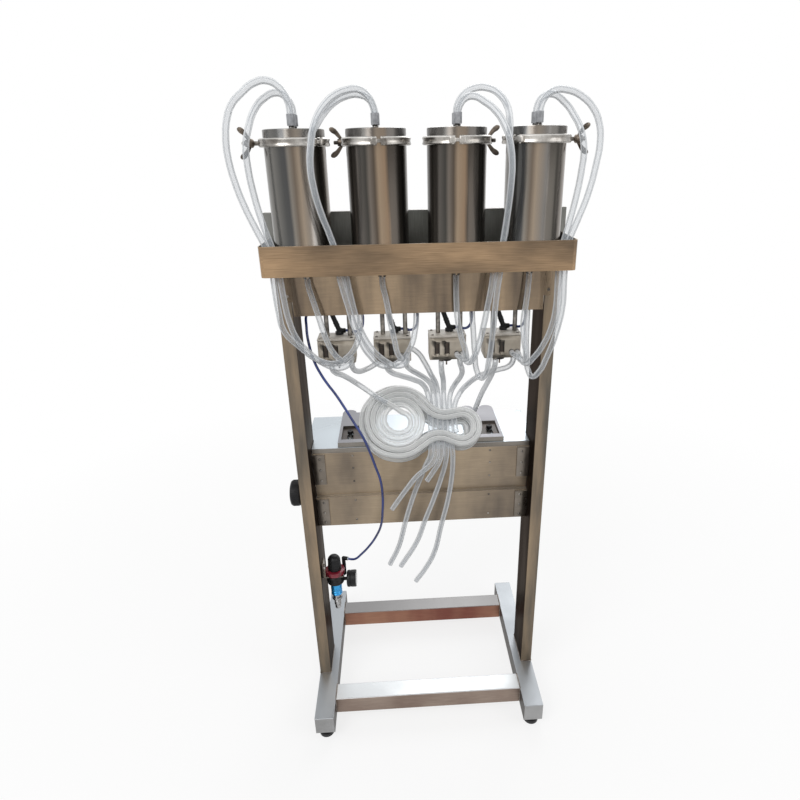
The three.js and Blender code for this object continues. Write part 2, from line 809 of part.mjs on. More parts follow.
// Shelf: a plate folded down onto the upper beam, wider behind the uprights, with the two
// clamp screws of the guide plates.
const shelf_side_y = upright_rear + bridge_gap;
const fold_z = [shelf_top - shelf_fold, shelf_top - shelf_sheet / 2];
add('shelf_plate', joined(
  plate([
    [-beam_reach, beam_front],
    [beam_reach, beam_front],
    [beam_reach, shelf_side_y],
    [shelf_rear_half, shelf_side_y],
    [shelf_rear_half, shelf_rear],
    [-shelf_rear_half, shelf_rear],
    [-shelf_rear_half, shelf_side_y],
    [-beam_reach, shelf_side_y],
  ], [shelf_top - shelf_sheet, shelf_top]),
  block(span, from(beam_front, shelf_sheet), fold_z),
  block([-shelf_rear_half, shelf_rear_half], [shelf_rear - shelf_sheet, shelf_rear], fold_z),
  [-1, 1].map((side) => bar(
    guide_screw_radius,
    [side * guide_screw_x, guide_screw_y, shelf_top - shelf_sheet / 2],
    [side * guide_screw_x, guide_screw_y, shelf_top + guide_screw_height],
    middle_sides,
  )),
), 'satin');

// Guide plates: each slides back under its clamp screw and has two round horns behind.
function guidePlate(side) {
  const horn = (guide_half - guide_notch_half) / 2;
  const lobe = (centre) => [0, 1, 2, 3, 4, 5, 6].map((k) => {
    const angle = k * Math.PI / 6;
    return [
      side * guide_centre + centre + horn * Math.cos(angle),
      guide_rear - horn + horn * Math.sin(angle),
    ];
  });
  const outline = [
    [side * guide_centre - guide_half, guide_front],
    [side * guide_centre + guide_half, guide_front],
    ...lobe(guide_notch_half + horn),
    [side * guide_centre + guide_notch_half, guide_rear - guide_notch_depth],
    [side * guide_centre - guide_notch_half, guide_rear - guide_notch_depth],
    ...lobe(-guide_notch_half - horn),
  ];
  const window = block(
    around(side * window_centre, 2 * window_half),
    [window_front, window_rear],
    [guide_bottom - cut_over, guide_top + cut_over],
  );
  return cut(plate(outline, [guide_bottom, guide_top]), window);
}
add('left_guide_plate', guidePlate(-1), 'steel');
add('right_guide_plate', guidePlate(1), 'steel');

// Hand knob: a moulded grip on a stud through the left upright's outer wall.
const knob_face = -frame_half - seat_gap;
add('hand_knob', joined(
  turned([
    [0, -knob_length],
    [knob_radius - knob_rim, -knob_length],
    [knob_radius, knob_rim - knob_length],
    [knob_radius, -knob_rim],
    [knob_radius - knob_rim, 0],
    [0, 0],
  ], [knob_face, knob_y, knob_z], round_sides, 'x'),
  bar(knob_stud_radius, [knob_face - knob_rim, knob_y, knob_z], [knob_face + knob_stud_length, knob_y, knob_z]),
), 'black_plastic');

// Regulator bracket: an angle on the left upright's inner face, held by one bolt.
const regulator = [regulator_x, regulator_y, 0];
const bracket_bottom = regulator_top + seat_gap;
const bracket_x = -upright_inner + seat_gap;
const bracket_y = around(regulator_y, 2 * bracket_half);
add('regulator_bracket', joined(
  cut(
    block([bracket_x, regulator_x + regulator_radius], bracket_y, from(bracket_bottom, bracket_sheet)),
    bar(
      regulator_neck + seat_gap * 2,
      [regulator_x, regulator_y, bracket_bottom - cut_over],
      [regulator_x, regulator_y, bracket_bottom + bracket_sheet + cut_over],
      middle_sides,
    ),
  ),
  block(from(bracket_x, bracket_sheet), bracket_y, [bracket_bottom, regulator_top + bracket_rise]),
  bar(
    bracket_bolt_radius,
    [-frame_half - 2 * bracket_bolt_radius, regulator_y, bracket_bolt_z],
    [bracket_x + 2 * bracket_sheet, regulator_y, bracket_bolt_z],
  ),
), 'steel');

// Regulator body: with its neck, gauge stem and the outlet post that carries the air tube.
const ring_bottom = bracket_bottom + bracket_sheet + seat_gap;
const ring_top = ring_bottom + lock_ring_height;
add('regulator_body', joined(
  turned([
    [0, regulator_bottom],
    [regulator_radius, regulator_bottom],
    [regulator_radius, regulator_top],
    [regulator_neck, regulator_top],
    [regulator_neck, ring_top],
    [0, ring_top],
  ], regulator),
  bar(
    gauge_stem_radius,
    [regulator_x, regulator_y, gauge_z],
    [gauge_start - seat_gap, regulator_y, gauge_z],
  ),
  bar(
    air_post_radius,
    [regulator_x, regulator_y, air_post_bottom],
    [air_post_x, air_post_y, air_post_bottom],
  ),
  bar(
    air_post_radius,
    [air_post_x, air_post_y, air_post_bottom - air_post_radius],
    [air_post_x, air_post_y, air_post_top],
  ),
  bar(
    air_post_radius,
    [air_post_x, air_post_y, air_post_top - air_post_radius],
    air_arm_end,
  ),
), 'black_plastic');

// Lock ring round the neck, clamping the bracket, and the pressure knob on top.
const ring_bore = (regulator_neck + seat_gap) / Math.cos(Math.PI / round_sides);
add('regulator_lock_ring', turned([
  [ring_bore, ring_bottom],
  [lock_ring_radius, ring_bottom],
  [lock_ring_radius, ring_top],
  [ring_bore, ring_top],
  [ring_bore, ring_bottom],
], regulator), 'red_plastic');
const knob_bottom = ring_top + seat_gap;
const knob_top_share = 0.75;
const knob_dome_share = 0.7;
add('regulator_knob', turned([
  [0, knob_bottom],
  [knob_cap_radius, knob_bottom],
  [knob_cap_radius, knob_bottom + knob_cap_height * knob_top_share],
  [knob_cap_radius * knob_dome_share, knob_bottom + knob_cap_height],
  [0, knob_bottom + knob_cap_height],
], regulator, middle_sides), 'black_plastic');

// Pressure gauge: a drum on the body's stem, dished on the right for the dial, with the
// post that its needle turns on.
const gauge = [gauge_start, regulator_y, gauge_z];
const dial = gauge_thickness - gauge_dish;
add('pressure_gauge', turned([
  [0, 0],
  [gauge_radius - gauge_rim, 0],
  [gauge_radius, gauge_rim],
  [gauge_radius, gauge_thickness],
  [gauge_radius - gauge_rim, gauge_thickness],
  [gauge_radius - gauge_rim, dial],
  [needle_post_radius, dial],
  [needle_post_radius, gauge_thickness - needle_thickness],
  [0, gauge_thickness - needle_thickness],
], gauge, round_sides, 'x'), 'black_plastic');
const needle_x = from(gauge_start + dial + needle_clearance, needle_thickness);
const needle_bore = (needle_post_radius + needle_clearance) / Math.cos(Math.PI / tube_sides);
const pointer = new THREE.BoxGeometry(needle_thickness, 2 * needle_half, needle_length + needle_tail);
pointer.translate(0, 0, (needle_tail - needle_length) / 2);
pointer.rotateX(-THREE.MathUtils.degToRad(needle_zero_degrees));
pointer.translate((needle_x[0] + needle_x[1]) / 2, regulator_y, gauge_z);
add('gauge_needle', cut(
  joined(
    solid(pointer),
    bar(
      needle_hub_radius,
      [needle_x[0], regulator_y, gauge_z],
      [needle_x[1], regulator_y, gauge_z],
    ),
  ),
  bar(
    needle_bore,
    [needle_x[0] - cut_over, regulator_y, gauge_z],
    [needle_x[1] + cut_over, regulator_y, gauge_z],
    tube_sides,
  ),
), 'white');

// Hand slide valve under the body: a barrel between two collars, and the supply coupler.
const slide_valve_top = regulator_bottom - seat_gap;
const sleeve_top = slide_valve_top - slide_stop - seat_gap;
const sleeve_bottom = sleeve_top - sleeve_length;
add('slide_valve_body', turned([
  [0, slide_valve_bottom - coupler_length],
  [coupler_radius, slide_valve_bottom - coupler_length],
  [coupler_radius, slide_valve_bottom - coupler_groove * 4],
  [coupler_radius - coupler_groove, slide_valve_bottom - coupler_groove * 3],
  [coupler_radius - coupler_groove, slide_valve_bottom - coupler_groove * 2],
  [slide_stop_radius, slide_valve_bottom - coupler_groove],
  [slide_stop_radius, sleeve_bottom - sleeve_travel - seat_gap],
  [slide_valve_radius, sleeve_bottom - sleeve_travel - seat_gap],
  [slide_valve_radius, slide_valve_top - slide_stop],
  [slide_stop_radius, slide_valve_top - slide_stop],
  [slide_stop_radius, slide_valve_top],
  [0, slide_valve_top],
], regulator, middle_sides), 'satin');
const sleeve_bore = (slide_valve_radius + sleeve_clearance) / Math.cos(Math.PI / middle_sides);
add('slide_valve_sleeve', turned([
  [sleeve_bore, sleeve_bottom],
  [sleeve_radius, sleeve_bottom],
  [sleeve_radius, sleeve_top],
  [sleeve_bore, sleeve_top],
  [sleeve_bore, sleeve_bottom],
], regulator, middle_sides), 'blue_metal');

// Hoses of each cylinder: outer lid hose to the rail's nipple, inner lid hose and outlet
// hose to the block's two front nipples. They lie against each other on the way.
const hose_routes = [
  [
    [
      [-229.5, -128, 1472.2], [-229.5, -128, 1487], [-233, -128, 1515], [-246, -128, 1536],
      [-267, -129, 1546], [-289, -130, 1542], [-313, -131, 1526], [-332, -132, 1508],
      [-343, -134, 1485], [-349, -137, 1452], [-349, -139, 1419], [-341, -144, 1376],
      [-328, -149, 1334], [-312, -154, 1295], [-298, -157, 1262], [-291, -157, 1232],
      [-289.2, -157, 1206], [-288.5, -156, 1175], [-287, -153, 1135], [-281, -149, 1090],
      [-254, -143, 1054], [-216, -134, 1019], [-186, -128, 1010], [-160, -114, 1018],
      [-138, -96, 1044], [-130, -78, 1082], [-129.5, -72, 1100], [-129.5, -72, 1112.7],
    ],
    [
      [-229.5, -96, 1472.2], [-229.5, -96, 1487], [-231, -96, 1507], [-241, -97, 1523],
      [-257, -98, 1529], [-278, -104, 1520], [-295, -119, 1500], [-306, -136, 1470],
      [-313, -144, 1440], [-314, -145, 1405], [-308, -147, 1350], [-297, -152, 1300],
      [-283, -156, 1250], [-276.7, -156.5, 1206], [-274, -153, 1160], [-269, -148, 1110],
      [-257, -141, 1068], [-236, -133, 1036], [-208, -127, 1009], [-178, -126, 998],
      [-157, -119, 1004], [-151.9, -106, 1010], [-151.9, -93.3, 1010],
    ],
    [
      [-229.5, -112, 1189.7], [-229.5, -112, 1178], [-222, -115, 1146], [-213, -119, 1112],
      [-201, -121, 1064], [-189, -122, 1034], [-172, -120, 1014], [-164.5, -107, 1010],
      [-164.5, -93.3, 1010],
    ],
  ],
  [
    [
      [-76.5, -128, 1472.2], [-76.5, -128, 1487], [-80, -129, 1506], [-90, -132, 1522],
      [-104, -136, 1530], [-122, -141, 1529], [-145, -152, 1520], [-167, -166, 1500],
      [-181.4, -180, 1474], [-189.1, -195.5, 1440], [-193, -200, 1404], [-190.5, -195, 1366],
      [-183, -183, 1324], [-172, -168, 1284], [-163, -160, 1245], [-160.5, -158, 1206],
      [-155, -157, 1176], [-146, -154, 1135], [-139, -151, 1100], [-130, -146, 1072],
      [-112, -138, 1032], [-79, -126, 999], [-46, -116, 1006], [-24, -102, 1028],
      [-9, -82, 1072], [-6.5, -72, 1099], [-6.5, -72, 1112.7],
    ],
    [
      [-76.5, -96, 1472.2], [-76.5, -96, 1487], [-78.5, -96, 1502], [-86, -97, 1516],
      [-103, -102, 1524], [-130, -114, 1520.5], [-153, -130, 1507], [-168.5, -147, 1490],
      [-179, -167.5, 1473], [-187.5, -181.5, 1458], [-190.7, -182.3, 1440], [-194.5, -185, 1404],
      [-192.5, -180, 1365.5], [-184.6, -168, 1323], [-173.4, -154.5, 1282],
      [-164, -146, 1246], [-156, -146, 1226], [-148, -155.5, 1206], [-142, -152, 1166],
      [-134, -148, 1121], [-123, -143, 1080], [-104, -136, 1042], [-78, -130, 1013],
      [-52, -127, 999], [-34, -120, 1002], [-28.9, -107, 1010], [-28.9, -93.3, 1010],
    ],
    [
      [-76.5, -112, 1189.7], [-76.5, -112, 1176], [-70, -115, 1140], [-64, -119, 1100],
      [-56, -122, 1055], [-50, -122, 1025], [-43, -116, 1012], [-41.5, -105, 1010],
      [-41.5, -93.3, 1010],
    ],
  ],
  [
    [
      [76.5, -128, 1472.2], [76.5, -128, 1487], [80, -129, 1503], [91, -131, 1515],
      [105, -136, 1517], [123, -144, 1508], [142, -156, 1492], [157, -170, 1468],
      [165.5, -183, 1440], [169.5, -190, 1404], [168.8, -190, 1364], [167, -179, 1319],
      [163, -162, 1259], [160.5, -158, 1206], [157, -156, 1176], [154, -151, 1133],
      [152, -142, 1077], [147, -128, 1001], [142, -118, 968], [134, -110, 958],
      [126, -102, 970], [121, -94, 1010], [118, -84, 1062], [116.5, -74, 1094],
      [116.5, -72, 1103], [116.5, -72, 1112.7],
    ],
    [
      [76.5, -96, 1472.2], [76.5, -96, 1487], [79, -96, 1505], [91, -96, 1523],
      [112, -99, 1533.5], [137.4, -106, 1532], [155.8, -118, 1520], [167.6, -134, 1499],
      [169.5, -153, 1474], [167.5, -170, 1440], [172.4, -175, 1404], [171.4, -175, 1363.5],
      [169.6, -164.5, 1317.7], [165.5, -148.5, 1257], [157, -145, 1230], [148, -155.5, 1206],
      [144, -153, 1170],
      [138, -149, 1130], [132, -145, 1092], [124, -140, 1050], [113, -134, 1015],
      [103, -125, 1001], [95.5, -113, 1006], [94.1, -104, 1010], [94.1, -93.3, 1010],
    ],
    [
      [76.5, -112, 1189.7], [76.5, -112, 1172], [77, -115, 1140], [79, -120, 1100],
      [87, -126, 1058], [96, -130, 1026], [97, -122, 1007], [86, -109, 1009],
      [81.5, -101, 1010], [81.5, -93.3, 1010],
    ],
  ],
  [
    [
      [229.5, -128, 1472.2], [229.5, -128, 1487], [237, -128, 1513], [255, -128, 1526],
      [280, -129, 1526], [307, -130, 1515], [330, -132, 1494], [342, -134, 1470],
      [346, -137, 1438], [341, -141, 1399], [328, -147, 1344], [311, -153, 1300],
      [297, -157, 1264], [292, -157, 1234], [291.2, -157, 1206], [292, -156, 1175],
      [294, -152, 1129], [288, -145, 1074], [274, -134, 1013], [259, -122, 970],
      [249, -112, 958], [241, -103, 970], [237, -95, 1010], [237, -84, 1058],
      [239.3, -74, 1092], [239.5, -72, 1102], [239.5, -72, 1112.7],
    ],
    [
      [229.5, -96, 1472.2], [229.5, -96, 1487], [233, -96, 1506], [243, -97, 1519],
      [260, -98, 1522], [281, -105, 1508], [297, -119, 1485], [308, -136, 1458],
      [314, -144, 1425], [312, -145, 1385], [304, -148, 1335], [294, -152, 1292],
      [283, -156, 1248], [278.7, -156.5, 1206], [279.5, -154, 1170], [281, -149, 1125],
      [277, -143, 1084], [264, -134, 1040], [246, -127, 1008], [231, -124, 994],
      [217.5, -113, 1006], [217.1, -104, 1010], [217.1, -93.3, 1010],
    ],
    [
      [229.5, -112, 1189.7], [229.5, -112, 1178], [226, -115, 1130], [221, -119, 1085],
      [223, -128, 1046], [227, -132, 1018], [225, -123, 1000], [210, -109, 1008],
      [204.5, -101, 1010], [204.5, -93.3, 1010],
    ],
  ],
];
hose_routes.forEach((routes, n) => add(
  `hoses_${n + 1}`,
  joined(routes.map((route) => tube(route, hose_radius, hose_step))),
  'hose',
));

// First delivery hose: over the hank's left loops and down to the end of its inner coil.
add('delivery_hose_1', tube([
  [-198.5, -76, 989.7], [-198.5, -76, 980], [-193, -72, 969], [-181, -61, 959],
  [-168, -42, 943], [-150, -22, 921], [-129.5, -21, 904.5], [-108, -31.5, 891.3],
  [-90.6, -40.1, 882.3], [-79.6, -44, 877.2],
], hose_radius, hose_step), 'hose');

// The other delivery hoses: side by side through the slot of the hank and out below it.
// One stops inside the slot, and the last goes down behind the hank onto a guide plate.
const delivery_routes = [
  [
    [-75.5, -76, 989.7], [-75.5, -76, 978], [-66, -70, 964], [-45, -54, 949],
    [-17, -34, 931], [8, -15, 909], [19.5, -8, 880], [20.5, -25.8, 855.8],
    [22.2, -58.5, 819.4], [20.5, -92, 782.2], [18, -101, 762], [9, -97, 738],
    [0, -93, 712], [-23, -92, 650], [-45, -90, 575], [-65, -90, 497], [-90, -90, 441],
  ],
  [
    [-31.5, -60, 989.7], [-31.5, -60, 978], [-23, -53, 964], [-4, -42, 947],
    [16, -30, 928], [28, -19, 908], [32.5, -8, 880], [33.1, -25.8, 855.8],
    [34.1, -58.5, 819.4], [33.1, -92, 782.2], [30, -106, 763], [22, -113, 748],
    [8, -113, 734], [-14, -110, 713], [-42, -104, 672], [-78, -100, 616],
  ],
  [
    [-154.5, -60, 989.7], [-154.5, -60, 977], [-145, -47, 961], [-124, -26, 958],
    [-99, -14, 968], [-70, -12, 985], [-45, -12, 999], [-22, -14, 1002],
    [-3, -20, 992], [13, -26, 968], [27, -24, 938], [39, -16, 911],
    [44.5, -8, 880], [45.7, -25.8, 855.8], [46, -58.5, 819.4], [45.7, -92, 782.2],
    [44, -103, 763], [37, -111, 746], [26, -113, 728], [9, -112, 700],
  ],
  [
    [47.5, -76, 989.7], [47.5, -76, 978], [49, -70, 961], [52, -53, 945],
    [55, -33, 930], [57, -18, 910], [58.3, -8, 880], [58.3, -25.8, 855.8],
    [57.9, -58.5, 819.4], [58.3, -92, 782.2], [57, -100, 760], [53, -101, 735],
    [46, -99, 706], [26, -95, 639], [3, -91, 572], [-18, -90, 510], [-62, -90, 433],
  ],
  [
    [91.5, -60, 989.7], [92, -60, 978], [97, -53, 961], [99, -40, 945],
    [95, -27, 928], [85, -17, 908], [75, -8, 880], [70.9, -25.8, 855.8],
    [69.8, -58.5, 819.4], [70.9, -92, 782.2], [72, -98, 760], [72, -97, 735],
    [71, -95, 708], [61, -91, 631], [44, -87, 552], [25, -85, 466],
    [1, -85, 416], [-24, -85, 378],
  ],
  [
    [214.5, -60, 989.7], [214.5, -60, 978], [205, -55, 963], [182, -50, 954],
    [158, -46, 946], [136, -36, 932], [115, -22, 909], [97, -9, 880],
    [83.5, -25.8, 855.8], [81.7, -58.5, 819.4], [83.5, -71, 805.5],
  ],
  [
    [170.5, -76, 989.7], [170.5, -76, 978], [169, -69, 964], [167, -60, 949],
    [163, -50, 932], [156, -36, 908], [150, -18, 882], [147, 4, 856],
    [145, 26, 832], [142, 44, 810], [138, 58, 793], [133, 72, 783],
    [127, 88, 780], [121, 104, 779.6],
  ],
];
add('delivery_hoses', joined(delivery_routes.map((route) => tube(route, hose_radius, hose_step))), 'hose');

// Air tubes: the supply from the regulator up to a line behind the valve panel, and a
// short loop from that line down to each block's elbow.
const air_supply_route = [
  [-202.7, -30.1, 418], [-195.2, -32, 417.5], [-184, -37, 422], [-166, -44, 442],
  [-144, -52, 472], [-122, -65, 514], [-108, -78, 556], [-102, -87, 604],
  [-100, -90, 649], [-103, -92, 694], [-112, -96, 731], [-126, -100, 783],
  [-141, -102, 825], [-157, -100, 856], [-174, -96, 888], [-195, -90, 924],
  [-210, -85, 945], [-223, -80, 966], [-236, -75, 994], [-245, -66, 1025],
  [-251, -48, 1070], [-248, -35, 1098], [-234, -33, 1107.5], [-215, -33, 1108],
];
const air_line_ends = [[-220, -33, 1108], [245, -33, 1108]];
const air_loop_offsets = [
  [20.3, -52, 1060.5], [30, -51, 1060], [42, -47, 1056], [53, -42, 1060],
  [59, -37, 1078], [57, -34, 1096], [52, -33, 1108],
];
add('air_tubes', joined(
  tube(air_supply_route, air_tube_radius, air_tube_step),
  bar(air_tube_radius, ...air_line_ends),
  valve_xs.map((x) => tube(air_loop_offsets.map(([dx, y, z]) => [x + dx, y, z]), air_tube_radius, air_tube_step)),
), 'blue_tube');

// Hank: one tube whose loops spiral out and in again, layer by layer. Each loop is a
// dumbbell of arcs: a large lobe, a narrow neck and a small lobe.
const neck_rise = hank_neck_radius + hank_neck_half;
const lobeOffset = (radius) => Math.sqrt((hank_neck_radius + radius) ** 2 - neck_rise ** 2);
const left_lobe_x = hank_centre_x - lobeOffset(hank_left_radius);
const right_lobe_x = hank_centre_x + lobeOffset(hank_right_radius);
const left_angle = Math.atan2(neck_rise, lobeOffset(hank_left_radius));
const right_angle = Math.PI - Math.atan2(neck_rise, lobeOffset(hank_right_radius));
const neck_right = Math.PI - right_angle;
const hank_arcs = [
  { x: hank_centre_x, rise: neck_rise, radius: -hank_neck_radius, start: -quarter, end: left_angle - Math.PI, steps: 2 },
  { x: left_lobe_x, rise: 0, radius: hank_left_radius, start: left_angle, end: 2 * Math.PI - left_angle, steps: 10 },
  { x: hank_centre_x, rise: -neck_rise, radius: -hank_neck_radius, start: Math.PI - left_angle, end: quarter, steps: 2 },
  { x: hank_centre_x, rise: -neck_rise, radius: -hank_neck_radius, start: quarter, end: neck_right, steps: 1 },
  { x: right_lobe_x, rise: 0, radius: hank_right_radius, start: -right_angle, end: right_angle, steps: 8 },
  { x: hank_centre_x, rise: neck_rise, radius: -hank_neck_radius, start: -neck_right, end: -quarter, steps: 1 },
];
const left_middle_turn = 7 / hank_steps;
const layer_turns = 2.5;
const outer_turns = [2 + left_middle_turn, 2 + left_middle_turn + 2 * layer_turns];
const first_layer = hose_radius + hank_seat;
const hank_layers = [0, 1, 2].map((layer) => first_layer + layer * hank_layer_pitch);
hank_layers.push(hank_layers[2] + hank_layer_pitch + hank_slot);
const lean = THREE.MathUtils.degToRad(hank_lean_degrees);
const tilt = THREE.MathUtils.degToRad(hank_tilt_degrees);

// A point of the hank in space: across and up its own tilted plane, and out from the slope.
function onSlope([x, rise, out]) {
  const across = x - hank_centre_x;
  const up = hank_centre_rise + across * Math.sin(tilt) + rise * Math.cos(tilt);
  return new THREE.Vector3(
    hank_centre_x + across * Math.cos(tilt) - rise * Math.sin(tilt),
    guide_front + up * Math.cos(lean) - out * Math.sin(lean),
    guide_top + up * Math.sin(lean) + out * Math.cos(lean),
  );
}

// How far a loop of the hank stands out from its innermost one after some turns.
function loopOffset(turn) {
  const nearest = turn < outer_turns[0] + layer_turns ? outer_turns[0] : outer_turns[1];
  return hank_pitch * (layer_turns - Math.abs(turn - nearest));
}

// The hank's centreline after a number of steps.
function hankPoint(step) {
  const turn = step / hank_steps;
  let rest = step % hank_steps;
  let arc = 0;
  while (rest > hank_arcs[arc].steps) {
    rest -= hank_arcs[arc].steps;
    arc += 1;
  }
  const { x, rise, radius, start, end, steps } = hank_arcs[arc];
  const angle = start + (end - start) * rest / steps;
  const reach = Math.abs(radius + loopOffset(turn));
  let out = hank_layers[0];
  [outer_turns[0], outer_turns[0] + layer_turns, outer_turns[1]].forEach((climb, layer) => {
    const share = 0.5 + (turn - climb) * hank_steps / hank_climb_steps;
    out += (hank_layers[layer + 1] - hank_layers[layer]) * THREE.MathUtils.clamp(share, 0, 1);
  });
  return [x + reach * Math.cos(angle), rise + reach * Math.sin(angle), out];
}
const hank_flat = Array.from({ length: hank_loops * hank_steps + 1 }, (_, step) => hankPoint(step));
hank_flat.unshift([hank_flat[0][0] + 2 * hose_radius, ...hank_flat[0].slice(1)]);

// Inner coil: round turns inside the left lobe's last loop, closing in to the hank's end,
// which climbs out over them to meet the first delivery hose.
const lobe_steps = hank_arcs[1].steps;
const lobe_start = left_angle;
const lobe_end = 2 * Math.PI - left_angle;
const last_start = hank_left_radius + loopOffset(hank_loops - (lobe_steps / hank_steps));
const last_end = hank_left_radius + loopOffset(hank_loops);
const top_layer = hank_layers[hank_layers.length - 1];
let coil_angle = lobe_end;
let coil_radius = last_end;
function coilTo(angle, radius, steps) {
  for (let k = 1; k <= steps; k += 1) {
    const share = k / steps;
    const a = coil_angle + (angle - coil_angle) * share;
    const r = coil_radius + (radius - coil_radius) * share;
    hank_flat.push([left_lobe_x + r * Math.cos(a), r * Math.sin(a), top_layer]);
  }
  coil_angle = angle;
  coil_radius = radius;
}
const crossing_steps = 3;
for (let turn = 1; turn <= coil_turns; turn += 1) {
  const round = turn * 2 * Math.PI;
  coilTo(lobe_start + round, last_start - turn * coil_gap, crossing_steps);
  coilTo(lobe_end + round, last_end - turn * coil_gap, lobe_steps);
}
const coil_end = THREE.MathUtils.degToRad(coil_end_degrees);
coilTo(coil_end + (coil_turns + 1) * 2 * Math.PI, coil_end_radius, crossing_steps + 1);
coil_exit.forEach(([along, rise]) => hank_flat.push([
  left_lobe_x + coil_end_radius * Math.cos(coil_end) - along * Math.sin(coil_end),
  coil_end_radius * Math.sin(coil_end) + along * Math.cos(coil_end),
  top_layer + rise,
]));
const hank_line = hank_flat.map(onSlope);

// Rings of points about the centreline, closed at both ends.
const slope_out = onSlope([0, 0, 1]).sub(onSlope([0, 0, 0]));
const ring_points = [];
hank_line.forEach((point, k) => {
  const before = hank_line[Math.max(k - 1, 0)];
  const after = hank_line[Math.min(k + 1, hank_line.length - 1)];
  const tangent = after.clone().sub(before).normalize();
  const side = tangent.clone().cross(slope_out).normalize();
  const lift = side.clone().cross(tangent);
  for (let j = 0; j < hank_sides; j += 1) {
    const angle = (j + 0.5) * 2 * Math.PI / hank_sides;
    ring_points.push(point.clone()
      .addScaledVector(side, hose_radius * Math.cos(angle))
      .addScaledVector(lift, hose_radius * Math.sin(angle)));
  }
});
const hank_faces = [];
for (let k = 0; k < hank_line.length - 1; k += 1) {
  for (let j = 0; j < hank_sides; j += 1) {
    const a = k * hank_sides + j;
    const b = k * hank_sides + (j + 1) % hank_sides;
    hank_faces.push(a, b, a + hank_sides, b, b + hank_sides, a + hank_sides);
  }
}
const last_ring = (hank_line.length - 1) * hank_sides;
for (let j = 1; j < hank_sides - 1; j += 1) {
  hank_faces.push(0, j + 1, j);
  hank_faces.push(last_ring, last_ring + j, last_ring + j + 1);
}
const hank_geometry = new THREE.BufferGeometry().setFromPoints(ring_points);
hank_geometry.setIndex(hank_faces);
add('hose_hank', solid(hank_geometry), 'hose');

// The least gap between runs of the hank that aren't neighbours along the tube.
const gap_samples = 4;
const gap_line = hank_line.slice(1).flatMap((point, k) => Array.from(
  { length: gap_samples },
  (_, j) => hank_line[k].clone().lerp(point, j / gap_samples),
));
const neighbour_samples = 4 * gap_samples;
let least_gap = Infinity;
for (let i = 0; i < gap_line.length; i += 1) {
  for (let j = i + neighbour_samples; j < gap_line.length; j += 1) {
    least_gap = Math.min(least_gap, gap_line[i].distanceTo(gap_line[j]) - 2 * hose_radius);
  }
}
console.log(`least gap of the hank to itself ${least_gap.toFixed(2)} mm`);

export default root;
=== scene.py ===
# A four-head pneumatic liquid filling machine on a floor stand, dressed around its CAD frame.
# Sizes are in millimetres where they are named and in metres once they reach a mesh.
import math

import bmesh
import bpy
from mathutils import Matrix, Vector


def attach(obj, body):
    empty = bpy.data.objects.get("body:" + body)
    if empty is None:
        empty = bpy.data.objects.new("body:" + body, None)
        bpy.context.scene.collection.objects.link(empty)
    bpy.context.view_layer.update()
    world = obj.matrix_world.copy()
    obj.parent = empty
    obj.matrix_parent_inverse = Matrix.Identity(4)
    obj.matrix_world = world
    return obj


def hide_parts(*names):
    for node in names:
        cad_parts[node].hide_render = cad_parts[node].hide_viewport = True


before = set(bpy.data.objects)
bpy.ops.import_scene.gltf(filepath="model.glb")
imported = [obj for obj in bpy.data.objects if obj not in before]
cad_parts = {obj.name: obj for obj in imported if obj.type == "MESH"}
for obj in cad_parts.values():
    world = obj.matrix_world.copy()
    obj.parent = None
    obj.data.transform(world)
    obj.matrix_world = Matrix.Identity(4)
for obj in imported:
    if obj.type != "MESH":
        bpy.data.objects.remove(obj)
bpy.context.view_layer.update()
mm = 0.001

# Camera
# The photograph's own viewpoint: a hand-held lens at shoulder height, 1.3 m in front and a
# little left of the middle, looking down by 23 degrees.
camera_place = Vector((-51.06, -1319.97, 1425.11)) * mm
camera_yaw, camera_pitch, camera_roll = (math.radians(a) for a in (3.0507, 23.0734, -0.8915))
ahead = Vector((
    math.sin(camera_yaw) * math.cos(camera_pitch),
    math.cos(camera_yaw) * math.cos(camera_pitch),
    -math.sin(camera_pitch),
))
unrolled_right = Vector((math.cos(camera_yaw), -math.sin(camera_yaw), 0))
unrolled_up = unrolled_right.cross(ahead)
right = math.cos(camera_roll) * unrolled_right + math.sin(camera_roll) * unrolled_up
above = math.cos(camera_roll) * unrolled_up - math.sin(camera_roll) * unrolled_right
camera = bpy.data.objects.new("camera", bpy.data.cameras.new("camera"))
bpy.context.collection.objects.link(camera)
camera_turn = Matrix((right, above, -ahead)).transposed().to_4x4()
camera.matrix_world = Matrix.Translation(camera_place) @ camera_turn
camera.data.lens = 26.22
camera.data.shift_x = -0.03456
bpy.context.scene.camera = camera
bpy.context.scene.view_settings.view_transform = "Standard"


# Studio
# A white floor that keeps a soft shadow and fades out to white, a white surround that shows
# in the metal too, and three large soft lamps.
def srgb(red, green, blue):
    """The linear colour, with alpha, of display values from 0 to 255."""
    return tuple(((v / 255 + 0.055) / 1.055) ** 2.4 for v in (red, green, blue)) + (1,)


def node_tree(owner):
    """Turns on an owner's nodes and returns its emptied tree."""
    owner.use_nodes = True
    owner.node_tree.nodes.clear()
    return owner.node_tree


def feed(node, inputs):
    """Gives each named input a value, an output's value or another node's first output."""
    for label, source in inputs.items():
        if isinstance(source, bpy.types.Node):
            source = source.outputs[0]
        if isinstance(source, bpy.types.NodeSocket):
            node.id_data.links.new(source, node.inputs[label])
        else:
            node.inputs[label].default_value = source


def add_node(tree, kind, inputs=None, **settings):
    """Adds a shader node with its settings and feeds its inputs."""
    node = tree.nodes.new(f"ShaderNode{kind}")
    for name, setting in settings.items():
        setattr(node, name, setting)
    feed(node, inputs or {})
    return node


